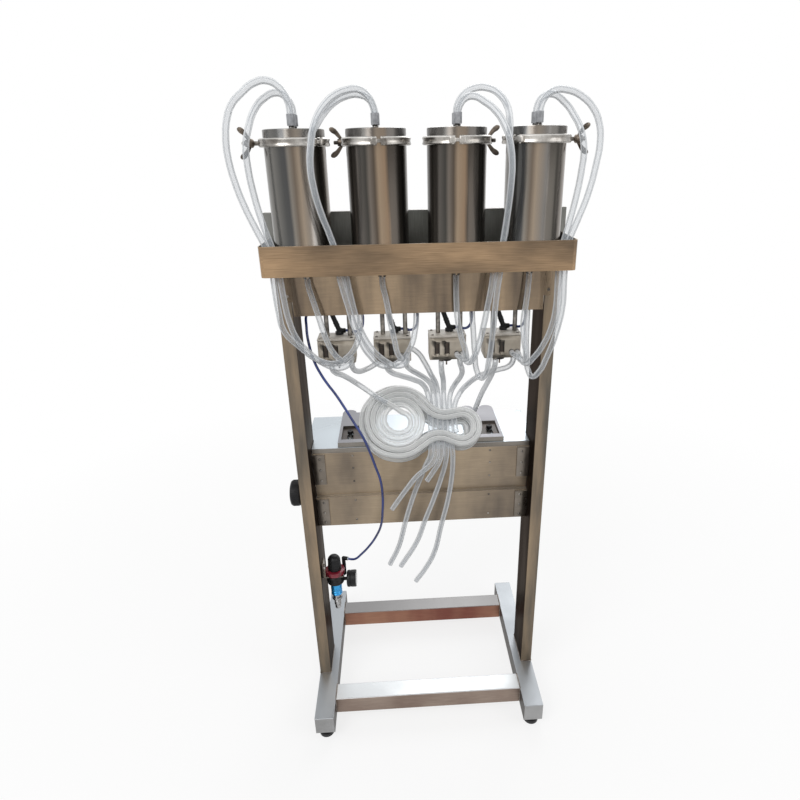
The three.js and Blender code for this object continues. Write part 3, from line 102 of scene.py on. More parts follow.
def seen_ray(tree):
    """A value that is 1 for what the camera sees, straight, mirrored or through glass."""
    rays = add_node(tree, "LightPath").outputs
    total = rays["Is Camera Ray"]
    for name in ("Is Glossy Ray", "Is Transmission Ray"):
        total = add_node(tree, "Math", {0: total, 1: rays[name]}, operation="MAXIMUM").outputs[0]
    return total


def add_object(name, data):
    """Puts an object with its data into the scene."""
    made = bpy.data.objects.new(name, data)
    bpy.context.collection.objects.link(made)
    return made


hidden_glow, seen_glow = 0.62, 1.0
world = bpy.data.worlds.new("studio")
bpy.context.scene.world = world
tree = node_tree(world)
glows = [
    add_node(tree, "Background", {"Color": (1, 1, 1, 1), "Strength": strength})
    for strength in (hidden_glow, seen_glow)
]
surround = add_node(tree, "MixShader", {0: seen_ray(tree), 1: glows[0], 2: glows[1]})
add_node(tree, "OutputWorld", {0: surround})

floor_radius, shade_ends, white_starts, least_white = 9, 0.4, 2.2, 0.76
floor_mesh = bmesh.new()
bmesh.ops.create_circle(floor_mesh, cap_ends=True, radius=floor_radius, segments=64)
floor_data = bpy.data.meshes.new("floor")
floor_mesh.to_mesh(floor_data)
floor = add_object("floor", floor_data)
floor_paint = bpy.data.materials.new("floor_white")
tree = node_tree(floor_paint)
floor_place = add_node(tree, "TexCoord").outputs["Object"]
reach = add_node(tree, "VectorMath", {0: floor_place}, operation="LENGTH").outputs["Value"]
fade = add_node(tree, "MapRange", {
    "Value": reach, "From Min": shade_ends, "From Max": white_starts, "To Min": least_white,
})
matt = add_node(tree, "BsdfDiffuse", {0: (0.85, 0.85, 0.85, 1)})
shine = add_node(tree, "Emission", {"Strength": seen_ray(tree)})
cover = add_node(tree, "MixShader", {0: fade, 1: matt, 2: shine})
add_node(tree, "OutputMaterial", {0: cover})
floor_data.materials.append(floor_paint)

lamp_aim = Vector((0, 0, 0.9))
for name, place, width, power in (
    ("key_lamp", (-1.6, -2.2, 3.0), 1.8, 46),
    ("fill_lamp", (2.4, -1.6, 1.9), 1.8, 20),
    ("back_lamp", (0.6, 2.2, 2.8), 1.6, 24),
):
    lamp = bpy.data.lights.new(name, "AREA")
    lamp.size = width
    lamp.energy = power
    holder = add_object(name, lamp)
    holder.location = place
    holder.rotation_euler = (lamp_aim - Vector(place)).to_track_quat("-Z", "Y").to_euler()


# Silicone hoses
# Milky, see-through 12.6 mm silicone hose, pushed over the barbs. Each cylinder has two hoses
# from its lid and one from its outlet; they pass through the tray's floor to a pinch valve.
def surface(name, colour, roughness, metallic=0.0):
    """A material with one Principled shader, and its tree, shader and object coordinates."""
    paint = bpy.data.materials.new(name)
    tree = node_tree(paint)
    shader = add_node(tree, "BsdfPrincipled", {
        "Base Color": srgb(*colour), "Roughness": roughness, "Metallic": metallic,
    })
    add_node(tree, "OutputMaterial", {0: shader})
    return paint, tree, shader, add_node(tree, "TexCoord").outputs["Object"]


def node_group(name, inputs, outputs):
    """A shader node group with (kind, label, value) sockets, and its own two end nodes."""
    group = bpy.data.node_groups.new(name, "ShaderNodeTree")
    for in_out, sockets in (("INPUT", inputs), ("OUTPUT", outputs)):
        for kind, label, *value in sockets:
            socket = group.interface.new_socket(
                label, in_out=in_out, socket_type=f"NodeSocket{kind}"
            )
            if value:
                socket.default_value = value[0]
    return group, group.nodes.new("NodeGroupInput").outputs, group.nodes.new("NodeGroupOutput")


# Cloudy: soft noise that mixes a pair of colours and varies the roughness.
cloudy, given, cloud_end = node_group("cloudy", (
    ("Vector", "Place"), ("Vector", "Stretch", (1, 1, 1)), ("Float", "Size", 10.0),
    ("Color", "Dark"), ("Color", "Light"), ("Float", "Roughness", 0.4), ("Float", "Spread", 0.1),
), (("Color", "Color"), ("Float", "Roughness"), ("Float", "Mask")))
cloud_map = add_node(cloudy, "Mapping", {"Vector": given["Place"], "Scale": given["Stretch"]})
cloud_noise = add_node(cloudy, "TexNoise", {
    "Vector": cloud_map, "Scale": given["Size"], "Detail": 4,
})
cloud_mask = add_node(cloudy, "MapRange", {
    "Value": cloud_noise, "From Min": 0.32, "From Max": 0.68,
})
cloud_mix = add_node(cloudy, "Mix", {
    "Factor": cloud_mask, 6: given["Dark"], 7: given["Light"],
}, data_type="RGBA")
cloud_spread = add_node(cloudy, "Math", {
    0: cloud_mask, 1: given["Spread"], 2: given["Roughness"],
}, operation="MULTIPLY_ADD")
feed(cloud_end, {"Color": cloud_mix.outputs[2], "Roughness": cloud_spread, "Mask": cloud_mask})


def add_cloudy(tree, shader, place, dark, light, size, roughness, spread, stretch=(1, 1, 1)):
    """Feeds a shader's colour and roughness from the cloudy group, and returns its outputs."""
    cloud = add_node(tree, "Group", {
        "Place": place, "Stretch": stretch, "Size": size, "Dark": srgb(*dark),
        "Light": srgb(*light), "Roughness": roughness, "Spread": spread,
    }, node_tree=cloudy).outputs
    feed(shader, {"Base Color": cloud["Color"], "Roughness": cloud["Roughness"]})
    return cloud


def colour_ramp(tree, value, stops):
    """A ramp through stops of (share, colour) or (share, colour, alpha)."""
    ramp = add_node(tree, "ValToRGB", {0: value})
    marks = ramp.color_ramp.elements
    while len(marks) < len(stops):
        marks.new(0.5)
    for mark, (share, *_) in zip(marks, stops):
        mark.position = share
    for mark, (_, colour, *alpha) in zip(marks, stops):
        mark.color = (*srgb(*colour)[:3], *(alpha or [1]))
    return ramp


def silicone(name, core, wall, rim, clearness):
    """Milky silicone: the bore shows through its middle, and its wall is whiter beside it."""
    paint, tree, shader, place = surface(name, wall, 0.3)
    cloud = add_cloudy(tree, shader, place, core, wall, 6, 0.24, 0.1)
    solid_core, solid_wall, solid_rim = 1 - clearness, 1 - clearness / 2, 0.94
    lean = add_node(tree, "LayerWeight", {"Blend": 0.5})
    ramp = colour_ramp(tree, lean.outputs["Facing"], (
        (0, core, solid_core), (0.12, core, solid_core), (0.2, rim, solid_wall),
        (0.3, wall, solid_wall), (0.6, wall, solid_wall), (0.88, rim, solid_rim),
    ))
    milk = add_node(tree, "Mix", {
        "Factor": 0.8, 6: cloud["Color"], 7: ramp.outputs["Color"],
    }, data_type="RGBA")
    feed(shader, {
        "Base Color": milk.outputs[2], "Alpha": ramp.outputs["Alpha"], "IOR": 1.41,
        "Coat Weight": 0.2,
    })
    return paint


clear_silicone = silicone("clear_silicone", (206, 212, 218), (244, 246, 248), (146, 152, 158), 0.7)
warm_silicone = silicone("warm_silicone", (232, 234, 233), (250, 251, 251), (190, 191, 189), 0.5)
hose_diameter, tube_diameter = 12.6 * mm, 6 * mm


def cord_piece(name, route, diameter, paint, node,
               bends=12):
    """A hose along its route, as a round curve."""
    points = [Vector(point) * mm for point in route]
    line = bpy.data.curves.new(name, "CURVE")
    line.dimensions = "3D"
    line.bevel_depth = diameter / 2
    line.bevel_resolution = 6
    line.resolution_u = bends
    line.use_fill_caps = True
    run = line.splines.new("BEZIER")
    run.bezier_points.add(len(points) - 1)
    for knot, point in zip(run.bezier_points, points):
        knot.co = point
        knot.handle_left_type = knot.handle_right_type = "AUTO"
    line.materials.append(paint)
    piece = add_object(name, line)
    bpy.context.view_layer.update()
    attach(piece, "stand")
    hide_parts(node)


# The bends of each hose between its two fittings. A hose leaves its cylinder's lid or outlet
# straight, and ends at a fitting whose place is given from its valve's centre.
cylinder_centres = (-229.5, -76.5, 76.5, 229.5)
valve_centres = (-184.5, -61.5, 61.5, 184.5)
hose_starts = {
    "outer": (-128, 1472.2, 1487), "inner": (-96, 1472.2, 1487), "outlet": (-112, 1189.7),
}
hose_ends = {"outer": (55, -72, 1112.7), "inner": (32.6, -93.3, 1010), "outlet": (20, -93.3, 1010)}
hose_bends = {
    "outer_lid_hose_1": (
        (-233, -128, 1515), (-246, -128, 1536), (-267, -129, 1546), (-289, -130, 1542),
        (-313, -131, 1526), (-332, -132, 1508), (-343, -134, 1485), (-349, -137, 1452),
        (-349, -139, 1419), (-341, -144, 1376), (-328, -149, 1334), (-312, -154, 1295),
        (-298, -157, 1262), (-291, -157, 1232), (-289.2, -157, 1206), (-288.5, -156, 1175),
        (-287, -153, 1135), (-281, -149, 1090), (-254, -143, 1054), (-216, -134, 1019),
        (-186, -128, 1010), (-160, -114, 1018), (-138, -96, 1044), (-130, -78, 1082),
        (-129.5, -72, 1100),
    ),
    "inner_lid_hose_1": (
        (-231, -96, 1507), (-241, -97, 1523), (-257, -98, 1529), (-278, -104, 1520),
        (-295, -119, 1500), (-306, -136, 1470), (-313, -144, 1440), (-314, -145, 1405),
        (-308, -147, 1350), (-297, -152, 1300), (-283, -156, 1250), (-276.7, -156.5, 1206),
        (-274, -153, 1160), (-269, -148, 1110), (-257, -141, 1068), (-236, -133, 1036),
        (-208, -127, 1009), (-178, -126, 998), (-157, -119, 1004), (-151.9, -106, 1010),
    ),
    "outlet_hose_1": (
        (-229.5, -112, 1178), (-222, -115, 1146), (-213, -119, 1112), (-201, -121, 1064),
        (-189, -122, 1034), (-172, -120, 1014), (-164.5, -107, 1010),
    ),
    "outer_lid_hose_2": (
        (-80, -129, 1506), (-90, -132, 1522), (-104, -136, 1530), (-122, -141, 1529),
        (-145, -152, 1520), (-167, -166, 1500), (-181.4, -180, 1474), (-189.1, -195.5, 1440),
        (-193, -200, 1404), (-190.5, -195, 1366), (-183, -183, 1324), (-172, -168, 1284),
        (-163, -160, 1245), (-160.5, -158, 1206), (-155, -157, 1176), (-146, -154, 1135),
        (-139, -151, 1100), (-130, -146, 1072), (-112, -138, 1032), (-79, -126, 999),
        (-46, -116, 1006), (-24, -102, 1028), (-9, -82, 1072), (-6.5, -72, 1099),
    ),
    "inner_lid_hose_2": (
        (-78.5, -96, 1502), (-86, -97, 1516), (-103, -102, 1524), (-130, -114, 1520.5),
        (-153, -130, 1507), (-168.5, -147, 1490), (-179, -167.5, 1473), (-187.5, -181.5, 1458),
        (-190.7, -182.3, 1440), (-194.5, -185, 1404), (-192.5, -180, 1365.5), (-184.6, -168, 1323),
        (-173.4, -154.5, 1282), (-164, -146, 1246), (-156, -146, 1226), (-148, -155.5, 1206),
        (-142, -152, 1166), (-134, -148, 1121), (-123, -143, 1080), (-104, -136, 1042),
        (-78, -130, 1013), (-52, -127, 999), (-34, -120, 1002), (-28.9, -107, 1010),
    ),
    "outlet_hose_2": (
        (-76.5, -112, 1176), (-70, -115, 1140), (-64, -119, 1100), (-56, -122, 1055),
        (-50, -122, 1025), (-43, -116, 1012), (-41.5, -105, 1010),
    ),
    "outer_lid_hose_3": (
        (80, -129, 1503), (91, -131, 1515), (105, -136, 1517), (123, -144, 1508),
        (142, -156, 1492), (157, -170, 1468), (165.5, -183, 1440), (169.5, -190, 1404),
        (168.8, -190, 1364), (167, -179, 1319), (163, -162, 1259), (160.5, -158, 1206),
        (157, -156, 1176), (154, -151, 1133), (152, -142, 1077), (147, -128, 1001),
        (142, -118, 968), (134, -110, 958), (126, -102, 970), (121, -94, 1010), (118, -84, 1062),
        (116.5, -74, 1094), (116.5, -72, 1103),
    ),
    "inner_lid_hose_3": (
        (79, -96, 1505), (91, -96, 1523), (112, -99, 1533.5), (137.4, -106, 1532),
        (155.8, -118, 1520), (167.6, -134, 1499), (169.5, -153, 1474), (167.5, -170, 1440),
        (172.4, -175, 1404), (171.4, -175, 1363.5), (169.6, -164.5, 1317.7), (165.5, -148.5, 1257),
        (157, -145, 1230), (148, -155.5, 1206), (144, -153, 1170), (138, -149, 1130),
        (132, -145, 1092), (124, -140, 1050), (113, -134, 1015), (103, -125, 1001),
        (95.5, -113, 1006), (94.1, -104, 1010),
    ),
    "outlet_hose_3": (
        (76.5, -112, 1172), (77, -115, 1140), (79, -120, 1100), (87, -126, 1058), (96, -130, 1026),
        (97, -122, 1007), (86, -109, 1009), (81.5, -101, 1010),
    ),
    "outer_lid_hose_4": (
        (237, -128, 1513), (255, -128, 1526), (280, -129, 1526), (307, -130, 1515),
        (330, -132, 1494), (342, -134, 1470), (346, -137, 1438), (341, -141, 1399),
        (328, -147, 1344), (311, -153, 1300), (297, -157, 1264), (292, -157, 1234),
        (291.2, -157, 1206), (292, -156, 1175), (294, -152, 1129), (288, -145, 1074),
        (274, -134, 1013), (259, -122, 970), (249, -112, 958), (241, -103, 970), (237, -95, 1010),
        (237, -84, 1058), (239.3, -74, 1092), (239.5, -72, 1102),
    ),
    "inner_lid_hose_4": (
        (233, -96, 1506), (243, -97, 1519), (260, -98, 1522), (281, -105, 1508), (297, -119, 1485),
        (308, -136, 1458), (314, -144, 1425), (312, -145, 1385), (304, -148, 1335),
        (294, -152, 1292), (283, -156, 1248), (278.7, -156.5, 1206), (279.5, -154, 1170),
        (281, -149, 1125), (277, -143, 1084), (264, -134, 1040), (246, -127, 1008),
        (231, -124, 994), (217.5, -113, 1006), (217.1, -104, 1010),
    ),
    "outlet_hose_4": (
        (229.5, -112, 1178), (226, -115, 1130), (221, -119, 1085), (223, -128, 1046),
        (227, -132, 1018), (225, -123, 1000), (210, -109, 1008), (204.5, -101, 1010),
    ),
}
for name, bends in hose_bends.items():
    kind, number = name.split("_")[0], int(name[-1])
    start_y, *heights = hose_starts[kind]
    end_x, end_y, end_z = hose_ends[kind]
    start = [(cylinder_centres[number - 1], start_y, z) for z in heights]
    end = (valve_centres[number - 1] + end_x, end_y, end_z)
    cord_piece(name, (*start, *bends, end), hose_diameter, clear_silicone, f"hoses_{number}")

# Delivery hoses
# Eight more lengths of the same hose, two under each valve. The first crosses the hank and
# joins its end, the last goes down behind it, and the rest drop through its slot and end bare.
first_delivery_route = (
    (-198.5, -76, 989.7), (-198.5, -76, 980), (-193, -72, 969), (-181, -61, 959),
    (-168, -42, 943), (-150, -22, 921), (-129.5, -21, 904.5), (-108, -31.5, 891.3),
    (-90.6, -40.1, 882.3), (-79.6, -44, 877.2),
)
delivery_routes = {
    "delivery_hose_3": (
        (-75.5, -76, 989.7), (-75.5, -76, 978), (-66, -70, 964), (-45, -54, 949),
        (-17, -34, 931), (8, -15, 909), (19.5, -8, 880), (20.5, -25.8, 855.8),
        (22.2, -58.5, 819.4), (20.5, -92, 782.2), (18, -101, 762), (9, -97, 738),
        (0, -93, 712), (-23, -92, 650), (-45, -90, 575), (-65, -90, 497),
        (-90, -90, 441),
    ),
    "delivery_hose_4": (
        (-31.5, -60, 989.7), (-31.5, -60, 978), (-23, -53, 964), (-4, -42, 947),
        (16, -30, 928), (28, -19, 908), (32.5, -8, 880), (33.1, -25.8, 855.8),
        (34.1, -58.5, 819.4), (33.1, -92, 782.2), (30, -106, 763), (22, -113, 748),
        (8, -113, 734), (-14, -110, 713), (-42, -104, 672), (-78, -100, 616),
    ),
    "delivery_hose_2": (
        (-154.5, -60, 989.7), (-154.5, -60, 977), (-145, -47, 961), (-124, -26, 958),
        (-99, -14, 968), (-70, -12, 985), (-45, -12, 999), (-22, -14, 1002),
        (-3, -20, 992), (13, -26, 968), (27, -24, 938), (39, -16, 911),
        (44.5, -8, 880), (45.7, -25.8, 855.8), (46, -58.5, 819.4), (45.7, -92, 782.2),
        (44, -103, 763), (37, -111, 746), (26, -113, 728), (9, -112, 700),
    ),
    "delivery_hose_5": (
        (47.5, -76, 989.7), (47.5, -76, 978), (49, -70, 961), (52, -53, 945),
        (55, -33, 930), (57, -18, 910), (58.3, -8, 880), (58.3, -25.8, 855.8),
        (57.9, -58.5, 819.4), (58.3, -92, 782.2), (57, -100, 760), (53, -101, 735),
        (46, -99, 706), (26, -95, 639), (3, -91, 572), (-18, -90, 510),
        (-62, -90, 433),
    ),
    "delivery_hose_6": (
        (91.5, -60, 989.7), (92, -60, 978), (97, -53, 961), (99, -40, 945),
        (95, -27, 928), (85, -17, 908), (75, -8, 880), (70.9, -25.8, 855.8),
        (69.8, -58.5, 819.4), (70.9, -92, 782.2), (72, -98, 760), (72, -97, 735),
        (71, -95, 708), (61, -91, 631), (44, -87, 552), (25, -85, 466),
        (1, -85, 416), (-24, -85, 378),
    ),
    "delivery_hose_7": (
        (214.5, -60, 989.7), (214.5, -60, 978), (205, -55, 963), (182, -50, 954),
        (158, -46, 946), (136, -36, 932), (115, -22, 909), (97, -9, 880),
        (83.5, -25.8, 855.8), (81.7, -58.5, 819.4), (83.5, -71, 805.5),
    ),
    "delivery_hose_8": (
        (170.5, -76, 989.7), (170.5, -76, 978), (169, -69, 964), (167, -60, 949),
        (163, -50, 932), (156, -36, 908), (150, -18, 882), (147, 4, 856),
        (145, 26, 832), (142, 44, 810), (138, 58, 793), (133, 72, 783),
        (127, 88, 780), (121, 104, 779.6),
    ),
}
cord_piece("crossing_delivery_hose", first_delivery_route, hose_diameter, clear_silicone,
           "delivery_hose_1")
for name, route in delivery_routes.items():
    cord_piece(name, route, hose_diameter, clear_silicone, "delivery_hoses")

# Air tube
# Blue 6 mm polyurethane tube: from the regulator up to a line behind the valve panel, with
# a short loop from that line to the elbow of each valve.
blue_tube, tree, shader, place = surface("blue_tube", (22, 48, 150), 0.3)
add_cloudy(tree, shader, place, (26, 40, 98), (44, 66, 140), 20, 0.25, 0.12)
feed(shader, {"Coat Weight": 0.3})
air_supply_route = (
    (-202.7, -30.1, 418), (-195.2, -32, 417.5), (-184, -37, 422), (-166, -44, 442),
    (-144, -52, 472), (-122, -65, 514), (-108, -78, 556), (-102, -87, 604),
    (-100, -90, 649), (-103, -92, 694), (-112, -96, 731), (-126, -100, 783),
    (-141, -102, 825), (-157, -100, 856), (-174, -96, 888), (-195, -90, 924),
    (-210, -85, 945), (-223, -80, 966), (-236, -75, 994), (-245, -66, 1025),
    (-251, -48, 1070), (-248, -35, 1098), (-234, -33, 1107.5), (-215, -33, 1108),
)
air_loop_offsets = (
    (20.3, -52, 1060.5), (30, -51, 1060), (42, -47, 1056), (53, -42, 1060),
    (59, -37, 1078), (57, -34, 1096), (52, -33, 1108),
)
air_routes = {"air_supply_tube": (*air_supply_route, (0, -33, 1108), (245, -33, 1108))}
for number, centre in enumerate(valve_centres, 1):
    air_routes[f"air_loop_{number}"] = [(centre + x, y, z) for x, y, z in air_loop_offsets[::-1]]
for name, route in air_routes.items():
    cord_piece(name, route, tube_diameter, blue_tube, "air_tubes")

# Hank
# The rest of the first delivery hose, some seven metres, wound into a waisted hank of four
# layers that leans on the guide plates, with a round coil closing in inside its left lobe.
# The other hoses pass through a slot in front of its third layer.
hank_lean, hank_tilt = math.radians(48), math.radians(-8)
hank_middle, hank_rise = 52, 21
left_lobe, right_lobe, waist_arc, waist_half = 56, 16, 80, 5.5
loop_pitch, layer_pitch, hose_slot, hank_seat = 13.6, 13.2, 13.8, 0.35
loops, loop_steps, climb_steps, layer_turns = 9.5, 24, 9, 2.5
coil_turns, coil_gap, coil_end_radius, coil_end = 2, 13.7, 19.5, math.radians(68)
coil_exit = ((10, 3.6), (20, 10.6), (31, 14), (42, 14.4))
guide_front, guide_top = -38, 772.6
waist_rise = waist_arc + waist_half
left_reach = math.sqrt((waist_arc + left_lobe) ** 2 - waist_rise ** 2)
right_reach = math.sqrt((waist_arc + right_lobe) ** 2 - waist_rise ** 2)
left_angle = math.atan2(waist_rise, left_reach)
right_angle = math.pi - math.atan2(waist_rise, right_reach)
quarter, full_turn = math.pi / 2, 2 * math.pi
lobe_x = hank_middle - left_reach
hank_arcs = (
    (hank_middle, waist_rise, -waist_arc, -quarter, left_angle - math.pi, 2),
    (lobe_x, 0, left_lobe, left_angle, full_turn - left_angle, 10),
    (hank_middle, -waist_rise, -waist_arc, math.pi - left_angle, quarter, 2),
    (hank_middle, -waist_rise, -waist_arc, quarter, math.pi - right_angle, 1),
    (hank_middle + right_reach, 0, right_lobe, -right_angle, right_angle, 8),
    (hank_middle, waist_rise, -waist_arc, right_angle - math.pi, -quarter, 1),
)
first_outer = 2 + 7 / loop_steps
climbs = (first_outer, first_outer + layer_turns, first_outer + 2 * layer_turns)
layers = [hose_diameter / mm / 2 + hank_seat + layer * layer_pitch for layer in range(3)]
layers.append(layers[2] + layer_pitch + hose_slot)


def loop_offset(turn):
    """How far a loop stands out from the innermost one after some turns."""
    nearest = climbs[0] if turn < climbs[1] else climbs[2]
    return loop_pitch * (layer_turns - abs(turn - nearest))


def hank_point(step):
    """The hank's centreline in its own plane after a number of steps."""
    turn = step / loop_steps
    rest = step % loop_steps
    for x, rise, radius, start, end, steps in hank_arcs:
        if rest <= steps:
            break
        rest -= steps
    angle = start + (end - start) * rest / steps
    reach = abs(radius + loop_offset(turn))
    out = layers[0]
    for level, climb in enumerate(climbs):
        share = 0.5 + (turn - climb) * loop_steps / climb_steps
        out += (layers[level + 1] - layers[level]) * min(max(share, 0), 1)
    return x + reach * math.cos(angle), rise + reach * math.sin(angle), out


def on_slope(x, rise, out):
    """A point of the hank's tilted plane, in the machine's millimetres."""
    across = x - hank_middle
    up = hank_rise + across * math.sin(hank_tilt) + rise * math.cos(hank_tilt)
    return (
        hank_middle + across * math.cos(hank_tilt) - rise * math.sin(hank_tilt),
        guide_front + up * math.cos(hank_lean) - out * math.sin(hank_lean),
        guide_top + up * math.sin(hank_lean) + out * math.cos(hank_lean),
    )


hank_flat = [hank_point(step) for step in range(round(loops * loop_steps) + 1)]
hank_flat.insert(0, (hank_flat[0][0] + hose_diameter / mm, *hank_flat[0][1:]))
last_start = left_lobe + loop_offset(loops - 10 / loop_steps)
last_end = left_lobe + loop_offset(loops)
coil = [(full_turn - left_angle, last_end, 0)]
for k in range(1, coil_turns + 1):
    coil.append((left_angle + k * full_turn, last_start - k * coil_gap, 3))
    coil.append((full_turn - left_angle + k * full_turn, last_end - k * coil_gap, 10))
coil.append((coil_end + (coil_turns + 1) * full_turn, coil_end_radius, 4))
for (a0, r0, _), (a1, r1, steps) in zip(coil, coil[1:]):
    for k in range(1, steps + 1):
        angle, radius = a0 + (a1 - a0) * k / steps, r0 + (r1 - r0) * k / steps
        hank_flat.append((lobe_x + radius * math.cos(angle), radius * math.sin(angle), layers[3]))
for along, rise in coil_exit:
    hank_flat.append((
        lobe_x + coil_end_radius * math.cos(coil_end) - along * math.sin(coil_end),
        coil_end_radius * math.sin(coil_end) + along * math.cos(coil_end),
        layers[3] + rise,
    ))
hank_route = [on_slope(*spot) for spot in hank_flat]
cord_piece("hank_of_hose", hank_route, hose_diameter, warm_silicone, "hose_hank",
           bends=4)

# Levelling feet
# Black moulded pads on threaded studs, screwed up into the foot rails and locked with a
# nut under each rail.
def spin_profile(bm, profile, place=(0, 0, 0), axis="Z", steps=64):
    """Spins a chain of (radius, height) points, in millimetres, about an axis through place."""
    out, line = {
        "X": ((0, 0, 1), (1, 0, 0)), "Y": ((1, 0, 0), (0, 1, 0)), "Z": ((1, 0, 0), (0, 0, 1)),
    }[axis]
    centre, out, line = Vector(place) * mm, Vector(out), Vector(line)
    chain = [bm.verts.new(centre + (out * reach + line * rise) * mm) for reach, rise in profile]
    edges = [bm.edges.new(pair) for pair in zip(chain, chain[1:])]
    bmesh.ops.spin(
        bm, geom=chain + edges, cent=centre, axis=line, angle=2 * math.pi, steps=steps,
        use_merge=True,
    )


def add_block(bm, corner, far_corner, edge=0.0, segments=2):
    """A block between two opposite corners in millimetres, with its edges bevelled."""
    low, high = (Vector([pick(pair) for pair in zip(corner, far_corner)]) * mm
                 for pick in (min, max))
    size = Matrix.Diagonal((*(high - low), 1))
    made = bmesh.ops.create_cube(bm, size=1, matrix=Matrix.Translation((low + high) / 2) @ size)
    if edge:
        edges = list({e for vert in made["verts"] for e in vert.link_edges})
        round_edges(bm, edges, edge, segments)


def round_edges(bm, edges, width, segments):
    """Bevels some edges by a width in millimetres."""
    bmesh.ops.bevel(
        bm, geom=edges, offset=width * mm, segments=segments, profile=0.5, affect="EDGES",
        material=-1,
    )


def add_rod(bm, start, end, radius, steps=24, tip=None):
    """A round rod, or a cone where tip gives the radius at its end."""
    a, b = Vector(start) * mm, Vector(end) * mm
    turn = (b - a).to_track_quat("Z", "Y").to_matrix().to_4x4()
    bmesh.ops.create_cone(
        bm, cap_ends=True, segments=steps, radius1=radius * mm,
        radius2=(radius if tip is None else tip) * mm, depth=(b - a).length,
        matrix=Matrix.Translation((a + b) / 2) @ turn,
    )


def add_ribs(bm, centre, count, radii, heights, thick, sides=8, first=0.0, axis="Z"):
    """Small rods round a centre, each from one radius and height to another."""
    for k in range(count):
        angle = first + 2 * math.pi * k / count
        ends = []
        for radius, height in zip(radii, heights):
            a, b = centre[0] + radius * math.cos(angle), centre[1] + radius * math.sin(angle)
            ends.append((a, b, height) if axis == "Z" else (height, a, b))
        add_rod(bm, *ends, thick, sides)


def add_ball(bm, spot, radius, subdivisions):
    """A ball round a spot in millimetres."""
    where = Matrix.Translation(Vector(spot) * mm)
    bmesh.ops.create_icosphere(bm, subdivisions=subdivisions, radius=radius * mm, matrix=where)


def finish_piece(name, bm, paint, node=None, body="stand", sharp=32):
    """Makes a mesh piece: faces out, smooth but for its sharp edges, riding on its body."""
    bmesh.ops.remove_doubles(bm, verts=bm.verts, dist=1e-6)
    bmesh.ops.recalc_face_normals(bm, faces=bm.faces)
    for face in bm.faces:
        face.smooth = True
    for edge in bm.edges:
        if len(edge.link_faces) == 2 and edge.calc_face_angle() > math.radians(sharp):
            edge.smooth = False
    data = bpy.data.meshes.new(name)
    bm.to_mesh(data)
    bm.free()
    data.materials.append(paint)
    piece = add_object(name, data)
    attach(piece, body)
    if node:
        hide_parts(node)


def turned_piece(name, profile, paint, node=None, place=(0, 0, 0), axis="Z", steps=64,
                 ribs=None, body="stand"):
    """A piece made of one spun profile, with ribs round it where they are given."""
    bm = bmesh.new()
    spin_profile(bm, profile, place, axis, steps)
    if ribs:
        add_ribs(bm, place, *ribs)
    finish_piece(name, bm, paint, node, body)


def add_bump(tree, shader, height, strength, distance=0.0004):
    """Feeds a shader's normal from a height as a fine bump."""
    bump = {"Height": height, "Strength": strength, "Distance": distance}
    feed(shader, {"Normal": add_node(tree, "Bump", bump)})


def moulding(name, dark, light, roughness, bump=0.3, size=90, **finish):
    """Moulded plastic, rubber or paint: faint mottling and a fine grain."""
    paint, tree, shader, place = surface(name, light, roughness)
    cloud = add_cloudy(tree, shader, place, dark, light, size, roughness, 0.12)
    add_bump(tree, shader, cloud["Mask"], bump)
    feed(shader, {label.replace("_", " "): value for label, value in finish.items()})
    return paint


foot_rubber = moulding("foot_rubber", (14, 14, 15), (38, 38, 40), 0.55)
pad_profile = (
    (0, 0), (17.5, 0), (19, 1.2), (19, 7), (17.6, 8.8), (12, 10.2), (10.4, 12), (9.6, 17),
    (9.6, 19), (0, 19),
)
for number, (x, y) in enumerate(((-275, -215), (275, -215), (-275, 215), (275, 215)), 1):
    turned_piece(f"foot_pad_{number}", pad_profile, foot_rubber,
                 f"levelling_foot_{number}", (x, y, 0), steps=48)

# Steel
# All the sheet and tube is brushed or polished stainless. Its broad tan, brown and dark patches
# are painted reflections of the surroundings. Its faces that look up are painted paler than those
# that stand, a painted highlight for the light they catch, and the sides that face the machine's
# middle are painted darker than both, a painted shade.
painted_light_by_face, given, tint_end = node_group(
    "painted_light_by_face", (("Color", "Standing"), ("Color", "Level"), ("Color", "Side")),
    (("Color", "Color"),),
)
face = add_node(painted_light_by_face, "NewGeometry").outputs
normal = add_node(painted_light_by_face, "SeparateXYZ", {0: face["Normal"]}).outputs
spot = add_node(painted_light_by_face, "SeparateXYZ", {0: face["Position"]}).outputs
half = add_node(painted_light_by_face, "Math", {0: spot["X"]}, operation="SIGN")
outward = add_node(painted_light_by_face, "Math", {0: half, 1: normal["X"]}, operation="MULTIPLY")
# The side share picks the faces turned to the machine's middle for the painted shade, and the light
# share picks the level faces for the painted light.
painted_shade_share = add_node(painted_light_by_face, "MapRange", {
    "Value": outward, "From Min": -0.4, "From Max": -0.95,
})
painted_light_share = add_node(painted_light_by_face, "MapRange", {
    "Value": normal["Z"], "From Min": 0.2, "From Max": 0.9,
})
side_mix = add_node(painted_light_by_face, "Mix", {
    "Factor": painted_shade_share, 6: given["Standing"], 7: given["Side"],
}, data_type="RGBA")
level_mix = add_node(painted_light_by_face, "Mix", {
    "Factor": painted_light_share, 6: side_mix.outputs[2], 7: given["Level"],
}, data_type="RGBA")
feed(tint_end, {"Color": level_mix.outputs[2]})


def grain_noise(tree, place, stretch, size, detail=2.0):
    """Noise drawn out along one direction, as brushing leaves it."""
    lines = add_node(tree, "Mapping", {"Vector": place, "Scale": stretch})
    return add_node(tree, "TexNoise", {"Vector": lines, "Scale": size, "Detail": detail}).outputs[0]


